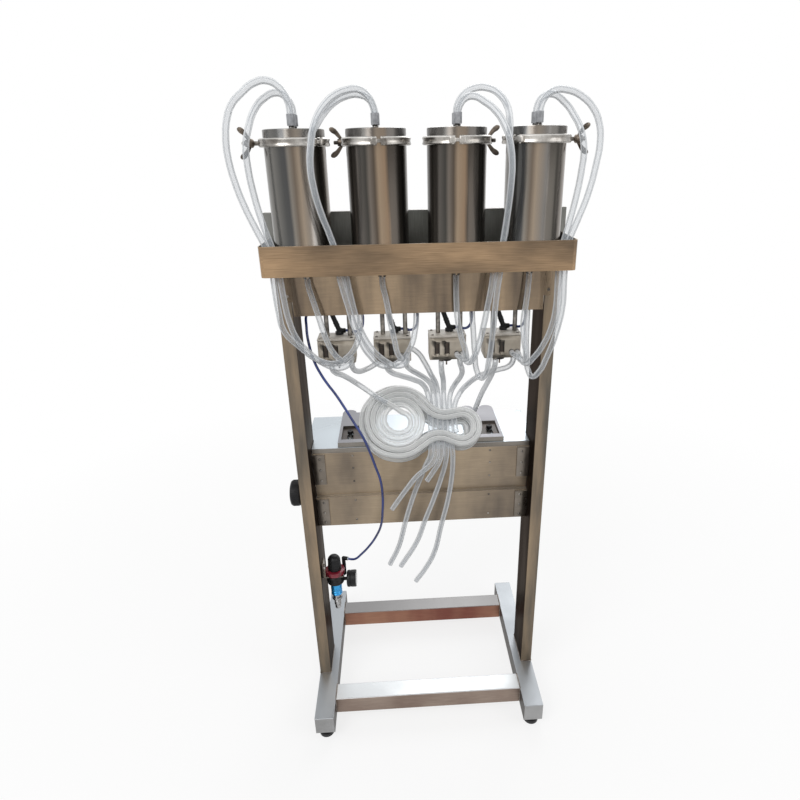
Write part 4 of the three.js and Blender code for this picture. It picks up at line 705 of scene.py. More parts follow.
def steel(name, dark, light, level=None, side=None, stretch=(1, 1, 1), size=9, grain=(4, 4, 220),
          roughness=0.3, spread=0.14, bump=0.12, streaks=0.16, metallic=0.92, specular=None):
    """Stainless: broad patches, which on the sheet and tube are painted reflections, brushed
    streaks, level faces painted paler as painted light and inner sides painted darker as painted
    shade.
    """
    paint, tree, shader, place = surface(name, light, roughness, metallic)
    cloud = add_cloudy(tree, shader, place, dark, light, size, roughness, spread, stretch)
    noise = grain_noise(tree, place, grain, 9, 3)
    add_bump(tree, shader, noise, bump, 0.0002)
    scratch = add_node(tree, "MapRange", {
        "Value": noise, "From Min": 0.3, "From Max": 0.7, "To Min": 1 - streaks,
        "To Max": 1 + streaks / 2,
    })
    tint = add_node(tree, "VectorMath", {0: cloud["Color"], "Scale": scratch}, operation="SCALE")
    # The level and side colours are painted: level faces paler as painted light, inner sides darker
    # as painted shade.
    if level:
        tint = add_node(tree, "Group", {
            "Standing": tint, "Level": srgb(*level), "Side": srgb(*side) if side else tint,
        }, node_tree=painted_light_by_face)
    feed(shader, {"Base Color": tint})
    if specular:
        feed(shader, {"Specular Tint": (*specular, 1)})
    return paint


def dress(nodes, paint, edge=0.0, segments=2):
    """Gives CAD nodes their finish and, where edge is given, softly broken edges."""
    for node in nodes.split():
        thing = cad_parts[node]
        for place in thing.material_slots:
            place.material = paint
        if edge:
            weld = thing.modifiers.new("weld", "WELD")
            weld.merge_threshold = 1e-5
            soft = thing.modifiers.new("broken_edges", "BEVEL")
            soft.width = edge * mm
            soft.segments = segments
            soft.limit_method = "ANGLE"
            soft.angle_limit = math.radians(35)


# Foot rails and cross rails
# 50 mm stainless box tube with closed ends, ground and satin finished, the cross rails
# welded between the foot rails.
# Painted reflections: the rails' tan, brown and dark red patches. Their tops take a level colour
# that is painted light, and the foot rails' inner sides take a darker side colour that is painted
# shade.
rail_steel = steel("rail_steel", (132, 114, 104), (160, 144, 132), (204, 207, 209),
                   grain=(3, 60, 60), roughness=0.34)
foot_steel = steel("foot_steel", (150, 150, 150), (176, 176, 176), (158, 162, 166),
                   (112, 110, 108), grain=(60, 3, 60), roughness=0.34, specular=(0.6, 0.6, 0.6))
rear_steel = steel("rear_steel", (104, 44, 46), (190, 150, 122), (128, 127, 127),
                   stretch=(1.2, 0.2, 0.2), size=3, grain=(3, 60, 60), roughness=0.34)
dress("front_cross_rail", rail_steel, 2.4, 3)
dress("left_foot_rail right_foot_rail", foot_steel, 2.4, 3)
dress("rear_cross_rail", rear_steel, 2.4, 3)
weld_steel = steel("weld_steel", (96, 84, 76), (176, 168, 160), size=120, roughness=0.45, bump=0.5)


def weld_bead(bm, points, radius=1.6, spacing=2.4):
    """A row of overlapping beads along a line."""
    for start, end in zip(points, points[1:]):
        a, b = Vector(start), Vector(end)
        count = max(2, round((b - a).length / spacing))
        for k in range(count):
            add_ball(bm, a.lerp(b, (k + 0.5) / count), radius, 1)


bm = bmesh.new()
for side in (-1, 1):
    for y in (-158, 159):
        x = side * 249.9
        weld_bead(bm, ((x, y - 25, 30), (x, y - 25, 77.2), (x, y + 25, 77.2), (x, y + 25, 30)))
    foot_of_upright = ((300, -92), (270, -92), (270, 8), (300, 8), (300, -92))
    weld_bead(bm, [(side * x, y, 77.5) for x, y in foot_of_upright])
finish_piece("weld_beads", bm, weld_steel, sharp=80)

# Uprights
# Stainless box tube, 30 by 100 mm, brushed along its length, standing on the foot rails.
# Painted reflections: the tan and grey patches. The level colour is painted light, and the
# near-black side colour of the inner faces is painted shade.
upright_steel = steel("upright_steel", (98, 93, 86), (156, 138, 116), (150, 146, 140),
                      (52, 46, 41), (9, 9, 1.1), 3.2, (220, 220, 3), specular=(0.36, 0.33, 0.3))
dress("left_upright right_upright", upright_steel, 2.2, 3)

# Tray, back panel and valve panel
# Folded sheet: the tray carries the cylinders, the back panel stands behind them and the
# polished valve panel closes the front below the tray.
# Painted reflections: the tan and brown patches and the valve panel's upright bands. The level
# colours are painted light, and the tray's darker side colour is painted shade.
tray_steel = steel("tray_steel", (92, 80, 68), (172, 144, 113), (176, 164, 148), (92, 84, 76),
                   (1.1, 1, 2.4), 4, (2.2, 60, 110), streaks=0.3)
dark_sheet = steel("dark_sheet", (112, 113, 107), (150, 150, 146), (186, 184, 180), size=5,
                   grain=(60, 60, 3), roughness=0.36, metallic=0.5)
panel_steel = steel("panel_steel", (106, 94, 82), (164, 143, 118), stretch=(8, 8, 1.2), size=2.6,
                    grain=(3, 60, 120), roughness=0.13, spread=0.08, bump=0.05)
dress("cylinder_tray", tray_steel, 0.8)
dress("back_panel", dark_sheet, 0.6)
dress("valve_panel", panel_steel, 0.5)
screw_steel = steel("screw_steel", (82, 78, 74), (170, 164, 156), size=80)


def add_screw(bm, x, y, z, radius=3.4, rise=2.0):
    """A pan-head screw that points back along +Y, with its recess."""
    spin_profile(bm, (
        (0, 0.4 - rise), (radius * 0.32, 0.4 - rise), (radius * 0.4, -rise),
        (radius * 0.75, 0.25 - rise), (radius, rise * 0.6 - rise), (radius, 0), (0, 0),
    ), (x, y, z), "Y", 20)


bm = bmesh.new()
for x in (-278, 278):
    for z in (1192, 1150):
        add_screw(bm, x, -94.0, z)
finish_piece("panel_screws", bm, screw_steel)

# Valve rail
# A folded angle between the uprights that hangs the four valves on pillars; a steel nipple
# beside each valve takes one of the hoses.
pillar_profile = ((0, 1052.3), (5, 1052.3), (5, 1112), (5.6, 1112), (5.6, 1117.9), (0, 1117.9))
pillar_nut_profile = ((0, 1121), (4.4, 1121), (4.4, 1124.5), (3.2, 1125.5), (0, 1125.5))
rail_nipple_profile = (
    (0, 1113), (4.8, 1113), (5.6, 1116.5), (5.6, 1117), (8.6, 1117), (8.6, 1118), (0, 1118),
)
bm = bmesh.new()
add_block(bm, (-269.6, -91.7, 1118), (269.6, -30, 1121), 0.6)
add_block(bm, (-269.6, -91.7, 1118.2), (269.6, -88.7, 1138), 0.6)
for centre in valve_centres:
    for x in (-20, 30):
        spin_profile(bm, pillar_profile, (centre + x, -62, 0), steps=24)
        spin_profile(bm, pillar_nut_profile, (centre + x, -62, 0), steps=6)
    spin_profile(bm, rail_nipple_profile, (centre + 55, -72, 0), steps=32)
finish_piece("valve_rail_piece", bm, screw_steel, "valve_rail")

# Product cylinders
# 114 mm stainless tube with a clamp ferrule welded round the top and an outlet stub below,
# mirror polished: the yard it mirrors is painted into its colour as a painted reflection of
# upright dark, tan and pale bands.
cylinder_y, nipple_rows = -112, (-128, -96)
# Painted reflections of the yard: colours at shares of a turn round each polished cylinder.
dark_reflection_bands = (
    (0.00, (90, 86, 80)), (0.07, (50, 45, 40)), (0.15, (100, 95, 90)), (0.20, (62, 60, 56)),
    (0.22, (112, 104, 96)), (0.245, (82, 72, 62)), (0.265, (152, 133, 112)),
    (0.30, (142, 120, 98)), (0.32, (66, 60, 54)), (0.42, (48, 46, 43)), (0.50, (130, 124, 118)),
    (0.62, (84, 80, 76)), (0.75, (140, 132, 122)), (1.00, (90, 86, 80)),
)
pale_reflection_bands = (
    (0.00, (120, 118, 114)), (0.13, (114, 112, 108)), (0.18, (80, 80, 79)), (0.205, (76, 76, 76)),
    (0.22, (130, 124, 116)), (0.245, (110, 98, 86)), (0.27, (154, 139, 122)),
    (0.32, (124, 120, 116)), (0.34, (72, 68, 63)), (0.39, (60, 57, 52)), (0.46, (134, 126, 118)),
    (0.75, (110, 104, 98)), (1.00, (120, 118, 114)),
)


def painted_reflection_steel(name, centre, bands, turn, roughness=0.2):
    """Polished steel whose colour runs round a centre in upright bands, a painted reflection."""
    paint, tree, shader, place = surface(name, (180, 176, 170), roughness, 0.78)
    centred = add_node(tree, "Mapping", {
        "Vector": place, "Location": (*(Vector(centre) * mm).xy, 0), "Rotation": (0, 0, turn),
    }, vector_type="TEXTURE")
    around = add_node(tree, "TexGradient", {0: centred}, gradient_type="RADIAL").outputs["Fac"]
    wobble = grain_noise(tree, place, (3, 3, 0.8), 7)
    warp = add_node(tree, "Math", {0: wobble, 1: 0.02, 2: around}, operation="MULTIPLY_ADD")
    feed(shader, {"Base Color": colour_ramp(tree, warp, bands)})
    add_bump(tree, shader, grain_noise(tree, place, (2, 2, 160), 10), 0.04, 0.0002)
    return paint


cylinder_profile = (
    (5, 1190), (7.4, 1190), (8, 1190.8), (8, 1206), (9.5, 1207.3), (56.2, 1207.3), (57.2, 1208.3),
    (57.2, 1209.6), (57.5, 1210.2), (57.5, 1211.6), (57.2, 1212.2), (57.2, 1436.8), (57.6, 1438.6),
    (59.2, 1440.3), (59.5, 1440.9), (59.5, 1442.8), (59.0, 1443.3), (55.8, 1443.3), (55.2, 1442.8),
    (55.2, 1210.2), (53.6, 1209.3), (6.4, 1209.3), (5, 1208.4), (5, 1190),
)
lid_profile = (
    (0, 1466.9), (54.6, 1466.9), (56.6, 1466.2), (57, 1464.8), (57, 1452.6), (57.6, 1450.8),
    (59.2, 1449), (59.5, 1448.4), (59.5, 1446.4), (59, 1445.9), (54.4, 1445.9), (54, 1446.4),
    (54, 1463), (53, 1463.9), (0, 1463.9),
)
gasket_profile = (
    (55.7, 1443.6), (59.3, 1443.6), (60.1, 1444.2), (60.1, 1445.2), (59.3, 1445.8), (55.7, 1445.8),
    (55.7, 1443.6),
)
nipple_profile = (
    (3.4, 1466.9), (8.6, 1466.9), (8.6, 1467.9), (5.4, 1468.6), (5.0, 1470), (5.8, 1470.6),
    (5.0, 1471.9), (3.4, 1471.9), (3.4, 1466.9),
)
cuff_profile = (
    (6.5, 1472.6), (7.7, 1472.6), (7.9, 1473.4), (7.9, 1491), (7.6, 1492.2), (6.5, 1492.2),
    (6.5, 1472.6),
)
gasket_rubber = moulding("gasket_rubber", (196, 196, 192), (228, 228, 224), 0.5)
cuff_plastic = moulding("cuff_plastic", (128, 130, 134), (176, 178, 182), 0.35)
nipple_steel = steel("nipple_steel", (60, 58, 56), (150, 146, 140), size=60, roughness=0.25)
for number, x in enumerate(cylinder_centres, 1):
    place = (x, cylinder_y, 0)
    bands = pale_reflection_bands if number in (1, 4) else dark_reflection_bands
    # The painted reflection is turned so that it faces the camera.
    turn = quarter + math.atan2(camera_place.y / mm - cylinder_y, camera_place.x / mm - x)
    body_steel = painted_reflection_steel(f"cylinder_steel_{number}", place, bands, turn)
    # The lids take a paler, flatter copy of the painted reflection.
    lid_reflection_bands = [(share, tuple(0.62 * v + 38 for v in colour)) for share, colour in bands]
    lid_steel = painted_reflection_steel(f"lid_steel_{number}", place, lid_reflection_bands, turn, 0.24)
    for name, profile, paint, slot, node in (
        ("product_cylinder", cylinder_profile, body_steel, "polished_steel", f"cylinder_{number}"),
        ("cylinder_lid", lid_profile, lid_steel, "polished_steel", f"lid_{number}"),
        ("lid_gasket", gasket_profile, gasket_rubber, "clear_hose", None),
    ):
        turned_piece(f"{name}_{number}", profile, paint, node, place, steps=96)
    for name, profile, paint, slot in (
        ("lid_nipples", nipple_profile, nipple_steel, "polished_steel"),
        ("hose_cuffs", cuff_profile, cuff_plastic, "clear_hose"),
    ):
        bm = bmesh.new()
        for y in nipple_rows:
            spin_profile(bm, profile, (x, y, 0), steps=32)
        finish_piece(f"{name}_{number}", bm, paint)

# Lid clamps
# Cast stainless clamps in two grooved halves, polished on top, their tops painted paler as a
# painted highlight: a pinned link joins them at one side, and a swing bolt with a wing nut draws
# their ears together at the other.
clamps = ((135, -1, 44), (95, -1, 58), (85, 1, 58), (45, 1, 44))
clamp_z, bolt_radius, half_gap = 1444.35, 72, 4
thread_start, thread_pitch = -19, 1.6
clamp_profile = (
    (60, -7.4), (63.4, -7.7), (65.2, -6.8), (66, -5), (65.2, -2.4), (64.6, 0), (65.2, 2.4),
    (66, 5), (65.2, 6.8), (63.4, 7.7), (60, 7.4), (57.6, 4.6), (59.8, 4.4), (59.8, -4.4),
    (57.6, -4.6), (60, -7.4),
)
# The clamps' pale level colour is a painted highlight on their tops.
clamp_steel = steel("clamp_steel", (92, 86, 80), (206, 202, 196), (226, 224, 220), size=26,
                    roughness=0.2, grain=(40, 40, 40), bump=0.08)
cast_steel = steel("cast_steel", (58, 52, 46), (142, 130, 118), size=60, roughness=0.36,
                   grain=(30, 30, 30), bump=0.5)


def clamp_frame(x, degrees, hand):
    """Turns a clamp's own directions, X out to its bolt and Y along it, into the machine's."""
    turn = math.radians(degrees)
    out = Vector((math.cos(turn), math.sin(turn), 0))
    along = Vector((out.y, -out.x, 0)) * hand
    matrix = Matrix((out, along, Vector((0, 0, 1)))).transposed().to_4x4()
    return Matrix.Translation(Vector((x, cylinder_y, clamp_z)) * mm) @ matrix


for number, (x, (degrees, hand, nut_face)) in enumerate(zip(cylinder_centres, clamps), 1):
    where = clamp_frame(x, degrees, hand)
    bm = bmesh.new()
    spin_profile(bm, clamp_profile, steps=96)
    for side in (-1, 1):
        bmesh.ops.bisect_plane(
            bm, geom=[*bm.verts, *bm.edges, *bm.faces],
            plane_co=(0, side * half_gap * mm, 0), plane_no=(0, side, 0),
        )
    gap = [f for f in bm.faces if abs(f.calc_center_median().y) < half_gap * mm]
    bmesh.ops.delete(bm, geom=gap, context="FACES")
    bmesh.ops.holes_fill(bm, edges=[e for e in bm.edges if len(e.link_faces) == 1], sides=0)
    for side in (-1, 1):
        add_block(bm, (61.5, side * half_gap, -7), (80, side * 20, 7), 2.6, 3)
        add_block(bm, (-73, side * 3, -6), (-62.5, side * 15, 6), 2.2, 3)
    add_block(bm, (-72.2, -12, -3.2), (-66.5, 12, 3.2), 1.4)
    for side in (-1, 1):
        add_rod(bm, (-69.3, side * 8.5, -7.2), (-69.3, side * 8.5, 7.2), 2.4, 20)
    bmesh.ops.transform(bm, matrix=where, verts=bm.verts)
    finish_piece(f"clamp_{number}", bm, clamp_steel, f"lid_clamp_{number}",
                 sharp=40)
    bm = bmesh.new()
    add_block(bm, (bolt_radius - 6, -25.5, -6), (bolt_radius + 6, -20.3, 6), 1.6)
    bolt_profile = [(0, -25), (3.5, -25)]
    for k in range(round((nut_face + 20 - thread_start) / thread_pitch)):
        root = thread_start + thread_pitch * k
        bolt_profile += [(3.5, root), (4.0, root + thread_pitch / 2)]
    bolt_profile += [(3.0, nut_face + 21.6), (0, nut_face + 21.9)]
    spin_profile(bm, bolt_profile, (bolt_radius, 0, 0), "Y", 20)
    bmesh.ops.transform(bm, matrix=where, verts=bm.verts)
    finish_piece(f"clamp_bolt_{number}", bm, screw_steel, sharp=60)

# Wing nuts
# Cast and tumbled stainless wing nuts, their wings upright, bored clear of the bolt.
nut_profile = ((4.4, 0), (7.4, 0), (8, 0.8), (7.6, 6), (6.6, 13.2), (6, 14), (4.4, 14), (4.4, 0))
wing_thickness = 4.6
wing_outline = (
    (2.0, 5.2), (9.5, 5.8), (13.5, 9.5), (18.5, 14.5), (25, 18), (28.6, 22), (28.9, 25.6),
    (26, 27.9), (21.5, 27.9), (16.5, 25), (11.5, 19.5), (7, 12.5),
)
for number, (x, (degrees, hand, nut_face)) in enumerate(zip(cylinder_centres, clamps), 1):
    bm = bmesh.new()
    spin_profile(bm, nut_profile, (bolt_radius, nut_face, 0), "Y", 32)
    for side in (-1, 1):
        wing = bmesh.new()
        flat = wing.faces.new([
            wing.verts.new(Vector((-wing_thickness / 2, along, side * out)) * mm)
            for along, out in wing_outline
        ])
        grown = bmesh.ops.extrude_face_region(wing, geom=[flat])
        moved = [v for v in grown["geom"] if isinstance(v, bmesh.types.BMVert)]
        bmesh.ops.translate(wing, verts=moved, vec=(wing_thickness * mm, 0, 0))
        bmesh.ops.recalc_face_normals(wing, faces=wing.faces)
        rim = [e for e in wing.edges if abs(e.calc_face_angle(0)) > math.radians(60)]
        round_edges(wing, rim, 1.5, 3)
        bmesh.ops.translate(wing, verts=wing.verts, vec=(bolt_radius * mm, nut_face * mm, 0))
        made = bpy.data.meshes.new("wing")
        wing.to_mesh(made)
        wing.free()
        bm.from_mesh(made)
        bpy.data.meshes.remove(made)
    bmesh.ops.transform(bm, matrix=clamp_frame(x, degrees, hand), verts=bm.verts)
    name = f"wing_nut_{number}"
    finish_piece(f"cast_{name}", bm, cast_steel, name, name, 50)

# Pinch valves
# Moulded grey-beige blocks hung from the rail: a lid plate on top, two slots in front where
# the hose is pinched, hose barbs, a black screwed cap below and a black air elbow on top.
block_plastic = moulding("block_plastic", (172, 162, 147), (192, 183, 169), 0.5, 0.08, 60)
lid_plastic = moulding("lid_plastic", (186, 180, 170), (206, 200, 190), 0.42, 0.06, 60)
slot_brown = moulding("slot_brown", (38, 30, 24), (66, 54, 44), 0.5, 0.1)
black_plastic = moulding("black_plastic", (9, 9, 10), (26, 26, 28), 0.38, 0.25, 160,
                         Specular_IOR_Level=0.28)
slot_places, supply_places = (-24, -2), (20, 32.6)
outlet_places = ((-14, -76), (30, -60))
lid_screw_places = ((-34, -81), (-34, -43), (34, -81), (34, -43))
front_columns, front_rows = (-40, -28.5, -19.5, -6.5, 2.5, 40), (996.4, 1010, 1035, 1046)
barb_profile = (
    (0, 0), (6.6, 0), (6.6, -0.9), (5.0, -1.2), (5.0, -3.2), (5.6, -3.6), (4.8, -4.9), (0, -4.9),
)
lid_screw_profile = (
    (0, 1052.6), (1.4, 1052.6), (1.4, 1053.6), (2.7, 1053.8), (3.1, 1053.2), (3.1, 1052), (0, 1052),
)
cap_profile = (
    (2.7, 983.2), (9.6, 983.2), (11.4, 984.4), (12, 986), (12, 989.6), (11.3, 990.1),
    (11.3, 991.4), (12, 991.9), (12, 994.9), (2.7, 994.9), (2.7, 983.2),
)
elbow_profile = (
    (0, 1052.2), (9.2, 1052.2), (9.2, 1058.4), (8.4, 1059.6), (6.4, 1060), (6.4, 1065.6),
    (5.2, 1066.8), (0, 1066.8),
)
for number, centre in enumerate(valve_centres, 1):
    bm = bmesh.new()
    add_block(bm, (centre - 41, -86, 995.2), (centre + 41, -36.2, 1047), 2.2, 3)
    for left, right in zip(front_columns, front_columns[1:]):
        for low, high in zip(front_rows, front_rows[1:]):
            if left not in (-28.5, -6.5) or low != 1010:
                add_block(bm, (centre + left, -88, low), (centre + right, -85.5, high))
    finish_piece(f"valve_body_{number}", bm, block_plastic,
                 f"valve_block_{number}")
    bm = bmesh.new()
    add_block(bm, (centre - 41, -88, 1047.3), (centre + 41, -36, 1052), 1.4, 3)
    finish_piece(f"valve_lid_{number}", bm, lid_plastic)
    bm = bmesh.new()
    for x, y in lid_screw_places:
        spin_profile(bm, lid_screw_profile, (centre + x, y, 0), steps=16)
    for x in supply_places:
        spin_profile(bm, barb_profile, (centre + x, -88, 1010), "Y", 24)
    for x, y in outlet_places:
        spin_profile(bm, barb_profile, (centre + x, y, 995), steps=24)
    finish_piece(f"valve_fittings_{number}", bm, screw_steel)
    bm = bmesh.new()
    for x in slot_places:
        middle = centre + x
        for left, right in ((-5.6, -4.2), (4.2, 5.6)):
            add_block(bm, (middle + left, -89, 1008.6), (middle + right, -86, 1036.4), 0.4, 1)
        add_block(bm, (middle - 5.6, -89, 1036), (middle + 5.6, -86, 1037.2), 0.4, 1)
    spin_profile(bm, cap_profile, (centre, -52, 0), steps=48)
    spin_profile(bm, elbow_profile, (centre + 6, -52, 0), steps=6)
    elbow = Vector((centre + 6, -52, 1060.5))
    arm = Vector((-16, 0, 44))
    add_rod(bm, elbow, elbow + Vector((12.6, 0, 0)), 5.4)
    add_rod(bm, elbow + Vector((12.6, 0, 0)), elbow + Vector((14.1, 0, 0)), 5.4, tip=4.4)
    add_rod(bm, elbow, elbow + arm, 5.4)
    for share in (0.3, 0.42, 0.9):
        collar, reach = elbow + arm * share, arm.normalized() * 1.6
        add_rod(bm, collar - reach, collar + reach, 6.1)
    finish_piece(f"valve_black_parts_{number}", bm, black_plastic)
    bm = bmesh.new()
    for x in slot_places:
        add_block(bm, (centre + x - 4.4, -86.7, 1010.2), (centre + x + 4.4, -86.1, 1034.8))
    finish_piece(f"valve_slots_{number}", bm, slot_brown)
    dress(f"pinch_piston_{number}", cast_steel, 0.4)

# Bridge
# Two folded stainless channels between the uprights, one above the other, with a screwed
# plate at each end, and a satin shelf folded down over the upper one.
# Painted reflections: the tan patches of the beams and end plates. The beams' paler level colour
# and the shelf's pale blue-white top are painted light.
beam_steel = steel("beam_steel", (106, 97, 88), (178, 160, 136), (196, 192, 186),
                   stretch=(2.2, 1, 1), size=3, grain=(2.4, 60, 110), streaks=0.12)
shelf_steel = steel("shelf_steel", (112, 106, 100), (150, 144, 136), (196, 204, 210), size=6,
                    grain=(3, 140, 60), roughness=0.24)
plate_steel = steel("plate_steel", (108, 101, 92), (138, 130, 121), stretch=(2, 1, 2),
                    grain=(3, 60, 200), roughness=0.24)
dress("upper_beam lower_beam", beam_steel, 0.7)
dress("shelf_plate", shelf_steel, 0.8)
bm = bmesh.new()
for side in (-1, 1):
    for low, high in ((661, 744), (540, 617)):
        add_block(bm, (side * 269.4, -46.1, low), (side * 239, -45.1, high), 0.4)
finish_piece("end_plate_skins", bm, plate_steel)
bm = bmesh.new()
for side in (-1, 1):
    for z in (733, 702, 672, 608, 578, 549):
        add_screw(bm, side * 251, -46.2, z, 3.2)
    for z in (738, 704, 666, 610, 552):
        add_screw(bm, side * 171, -42.1, z, 2.6, 1.6)
for x in (-90, 0, 90):
    add_screw(bm, x, -42.1, 742, 2.2, 1.4)
finish_piece("bridge_screws", bm, screw_steel)

# Guide plates
# Thick steel plates with a round-horned notch behind for a bottle's neck, each held by a
# knurled clamp screw in its window and slid back under it.
# The plates' level colour on their tops is painted light.
guide_steel = steel("guide_steel", (116, 111, 105), (152, 147, 140), (136, 136, 140),
                    stretch=(1, 3, 1), grain=(60, 6, 60), roughness=0.36)
dress("left_guide_plate right_guide_plate", guide_steel, 1.0, 3)
liner_brown = moulding("liner_brown", (44, 36, 32), (84, 70, 62), 0.34, 0.1, 50)
screw_x, screw_y, slot_half, window_front, window_back = 177, 18, 7.6, -19.6, 56.6
clamp_screw_profile = (
    (5.2, 766.8), (7.3, 766.8), (7.3, 767.8), (5.6, 768.4), (5.6, 769), (6.8, 769.6),
    (7.1, 770.4), (7.1, 777), (6.4, 778.2), (2.8, 778.2), (2.4, 777.4), (0, 777.4), (0, 768.8),
    (5.2, 768.8), (5.2, 766.8),
)
for label, side in (("left", -1), ("right", 1)):
    bm = bmesh.new()
    for near, far, front in (
        (125.4, screw_x - slot_half, window_front), (screw_x + slot_half, 197.6, window_front),
        (screw_x - slot_half, screw_x + slot_half, 28),
    ):
        add_block(bm, (side * near, front, 761.2), (side * far, window_back, 766.2))
    finish_piece(f"{label}_slot_liner", bm, liner_brown,
                 body=f"{label}_guide_plate")
    turned_piece(f"{label}_clamp_screw", clamp_screw_profile, black_plastic,
                 None, (side * screw_x, screw_y, 0), steps=40,
                 ribs=(16, (7, 7), (770.6, 777), 0.4, 6))

# Hand knob
# A moulded black drum with a finely ribbed rim on a stud through the left upright.
knob_centre = (0, -45, 641)
bm = bmesh.new()
spin_profile(bm, (
    (0, -329.4), (10, -329.4), (12, -330), (24, -330), (29.8, -328.2), (32.2, -324.6),
    (32.4, -309), (30.6, -304.6), (25, -302.2), (14, -302), (11.4, -300.5), (0, -300.5),
), knob_centre, "X", 96)
add_ribs(bm, knob_centre[1:], 48, (32.2, 32.2), (-323.6, -310), 0.7, 6, axis="X")
spin_profile(bm, ((0, -330.1), (5.4, -330.1), (6.2, -329.2), (0, -329.2)), knob_centre, "X", 6)
finish_piece("grip_knob", bm, black_plastic, "hand_knob", "hand_knob")

# Air regulator
# A moulded black regulator that hangs from a bent steel bracket: ribbed body, red lock
# ring, ribbed pull-up knob, and an elbowed outlet post that carries the blue tube.
regulator = (-239, -50, 0)
dress("regulator_bracket", plate_steel, 0.5)
bm = bmesh.new()
spin_profile(bm, (
    (0, 361.2), (19, 361.2), (21.6, 362.4), (22.6, 364.2), (22.6, 366.6), (21.6, 367.4),
    (21.6, 368.6), (22.6, 369.4), (22.6, 378), (23, 379), (23, 384.8), (21.6, 386.8),
    (14, 386.9), (13.9, 403.6), (13, 404), (0, 404),
), regulator)
add_ribs(bm, regulator, 12, (22.2, 22.2), (370, 377.4), 1.3, first=0.26)
add_rod(bm, (-216.5, -50, 369), (-208.8, -50, 369), 5, 6)
post = ((-239, -50, 368), (-216.5, -26.5, 368), (-216.5, -26.5, 419), (-204.6, -29.6, 418.1))
for start, end in zip(post, post[1:]):
    add_rod(bm, start, end, 5)
for corner in post[1:3]:
    add_ball(bm, corner, 5, 3)
add_rod(bm, (-216.5, -26.5, 393), (-216.5, -26.5, 398), 5.8, 6)
finish_piece("regulator_case", bm, black_plastic, "regulator_body")
collar_plastic = moulding("collar_plastic", (176, 190, 206), (214, 224, 234), 0.22, 0.1)
bm = bmesh.new()
add_rod(bm, (-204.5, -29.6, 418.1), (-202.9, -30, 418), 4.7, tip=4.2)
finish_piece("tube_collar", bm, collar_plastic)

# Lock ring: a red knurled ring that jams the knob.
red_plastic = moulding("red_plastic", (92, 14, 30), (150, 34, 54), 0.3, 0.15, 120, Coat_Weight=0.3)
turned_piece("red_lock_ring", (
    (14.6, 390.4), (22.5, 390.4), (25.0, 391.4), (25.6, 393), (25.6, 401.4), (24.6, 403.4),
    (22.4, 404), (14.6, 404), (14.6, 390.4),
), red_plastic, "regulator_lock_ring", regulator, steps=72,
    ribs=(24, (25.2, 25.2), (393, 401.2), 0.8))

# Pressure knob: black, domed and ribbed, turned to set the pressure.
turned_piece("ribbed_pressure_knob", (
    (0, 404.6), (17, 404.6), (17.6, 405.4), (17.6, 410), (16.4, 410.8), (16.4, 412), (17, 412.8),
    (16.6, 432), (15, 439), (11.4, 443.8), (6, 446), (0, 446.4),
), black_plastic, "regulator_knob", regulator, steps=72,
    ribs=(24, (16.6, 15.4), (413.4, 436.6), 1.0), body="regulator_knob")

# Pressure gauge: a black drum with a white dial behind a clear lens on its right.
gauge = Vector((-208.5, -50, 369))
bm = bmesh.new()
spin_profile(bm, (
    (0, 0.2), (18.6, 0.2), (21.4, 1.4), (22.2, 3.4), (22.2, 8.4), (21.2, 9.2), (21.2, 10.4),
    (22.2, 11.2), (22.4, 19), (22.4, 23.6), (21.6, 24.8), (20.4, 25), (20, 24.2), (20, 20.9),
    (1, 20.9), (1, 23.9), (0, 23.9),
), gauge, "X", 72)
add_block(bm, (-208.9, -55, 364), (-206.6, -45, 374), 0.8)
finish_piece("gauge_drum", bm, black_plastic, "pressure_gauge")
dial_paint = moulding("dial_paint", (222, 222, 218), (244, 244, 242), 0.5, 0.05)
dial_profile = ((1.2, 21.0), (19.8, 21.0), (19.8, 21.12), (1.2, 21.12), (1.2, 21.0))
turned_piece("gauge_dial", dial_profile, dial_paint, None, gauge, "X")
dial_ink = moulding("dial_ink", (12, 12, 14), (24, 24, 26), 0.5, 0.05)
dial_centre = gauge + Vector((21.2, 0, 0))
dial_start, dial_sweep, dial_marks, marks_per_number = math.radians(225), math.radians(270), 30, 5


def dial_direction(mark):
    """The direction of a mark across the dial, seen from the right, clockwise from zero."""
    angle = dial_start - dial_sweep * (mark / dial_marks)
    return Vector((0, math.cos(angle), math.sin(angle)))


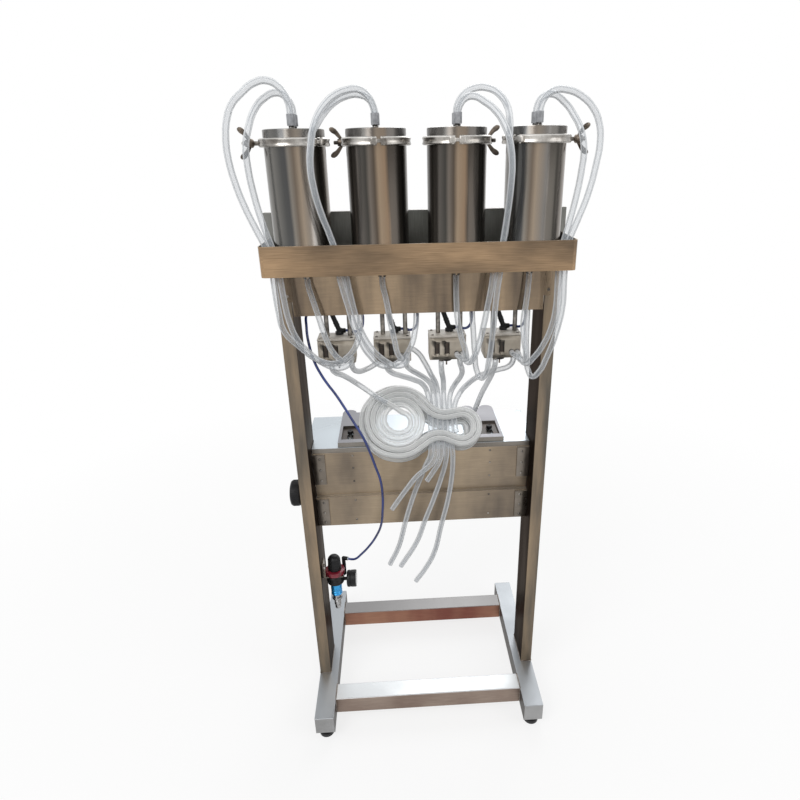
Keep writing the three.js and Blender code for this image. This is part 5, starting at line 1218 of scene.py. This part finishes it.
bm = bmesh.new()
for mark in range(dial_marks + 1):
    aim = dial_direction(mark)
    near, wide = (17, 0.28) if mark % marks_per_number else (15.2, 0.5)
    add_rod(bm, dial_centre + aim * near, dial_centre + aim * 19, wide, 6)
finish_piece("gauge_marks", bm, dial_ink)
bm = bmesh.new()
facing_right = Matrix(((0, 0, 1), (1, 0, 0), (0, 1, 0))).to_4x4()
for mark in range(0, dial_marks + 1, marks_per_number):
    text = bpy.data.curves.new(f"numeral_{mark}", "FONT")
    text.body = str(2 * mark // marks_per_number)
    text.size = 4.2 * mm
    text.align_x = text.align_y = "CENTER"
    text.extrude = 0.08 * mm
    holder = add_object(f"numeral_{mark}", text)
    shape = bpy.data.meshes.new_from_object(
        holder.evaluated_get(bpy.context.evaluated_depsgraph_get())
    )
    bpy.data.objects.remove(holder)
    centre = (dial_centre + dial_direction(mark) * 12) * mm
    shape.transform(Matrix.Translation(centre) @ facing_right)
    bm.from_mesh(shape)
    bpy.data.meshes.remove(shape)
finish_piece("gauge_numerals", bm, dial_ink)
dress("gauge_needle", moulding("needle_red", (150, 20, 20), (200, 40, 36), 0.4, 0.05))
lens, _, shader, _ = surface("gauge_lens", (250, 250, 250), 0.03)
feed(shader, {"Transmission Weight": 1.0, "IOR": 1.3})
lens_profile = ((0, 24.3), (19.6, 24.3), (19.6, 24.7), (0, 24.7))
turned_piece("gauge_lens", lens_profile, lens, None, gauge, "X")

# Hand slide valve
# A turned barrel below the regulator with a blue anodised sleeve that is slid to shut the
# air, and a plug-in coupler at the bottom.
barrel_steel = steel("barrel_steel", (120, 118, 116), (216, 216, 216), size=50, roughness=0.22)
turned_piece("slide_valve_barrel", (
    (0, 272.2), (3.2, 272.2), (3.2, 273), (6.8, 273), (7.6, 274.6), (7.6, 284), (9, 285.4),
    (9, 299.6), (7, 301.6), (7, 304), (9.4, 305.6), (13, 306.2), (14, 307.2), (14, 312.8),
    (10.5, 313), (10.5, 356.6), (13, 356.8), (14, 357.6), (14, 360), (13.4, 360.6), (0, 360.6),
), barrel_steel, "slide_valve_body", regulator)
blue_metal = moulding("blue_metal", (20, 132, 200), (58, 172, 232), 0.22, 0.05, 60,
                      Coat_Weight=0.4, Metallic=0.7)
low, high = 322.4, 356.4  # the ends of the sleeve
turned_piece("blue_sleeve", (
    (11, low), (13.8, low), (14.8, low + 1), (14.8, low + 5), (13.9, low + 6), (13.9, low + 8),
    (14.8, low + 9), (14.8, low + 11), (13.9, low + 12), (13.9, low + 14), (14.8, low + 15),
    (14.8, high - 3), (13.6, high), (11, high), (11, low),
), blue_metal, "slide_valve_sleeve", regulator,
    ribs=(18, (14.5, 14.5), (low + 17, high - 4), 0.5, 6), body="slide_valve_sleeve")
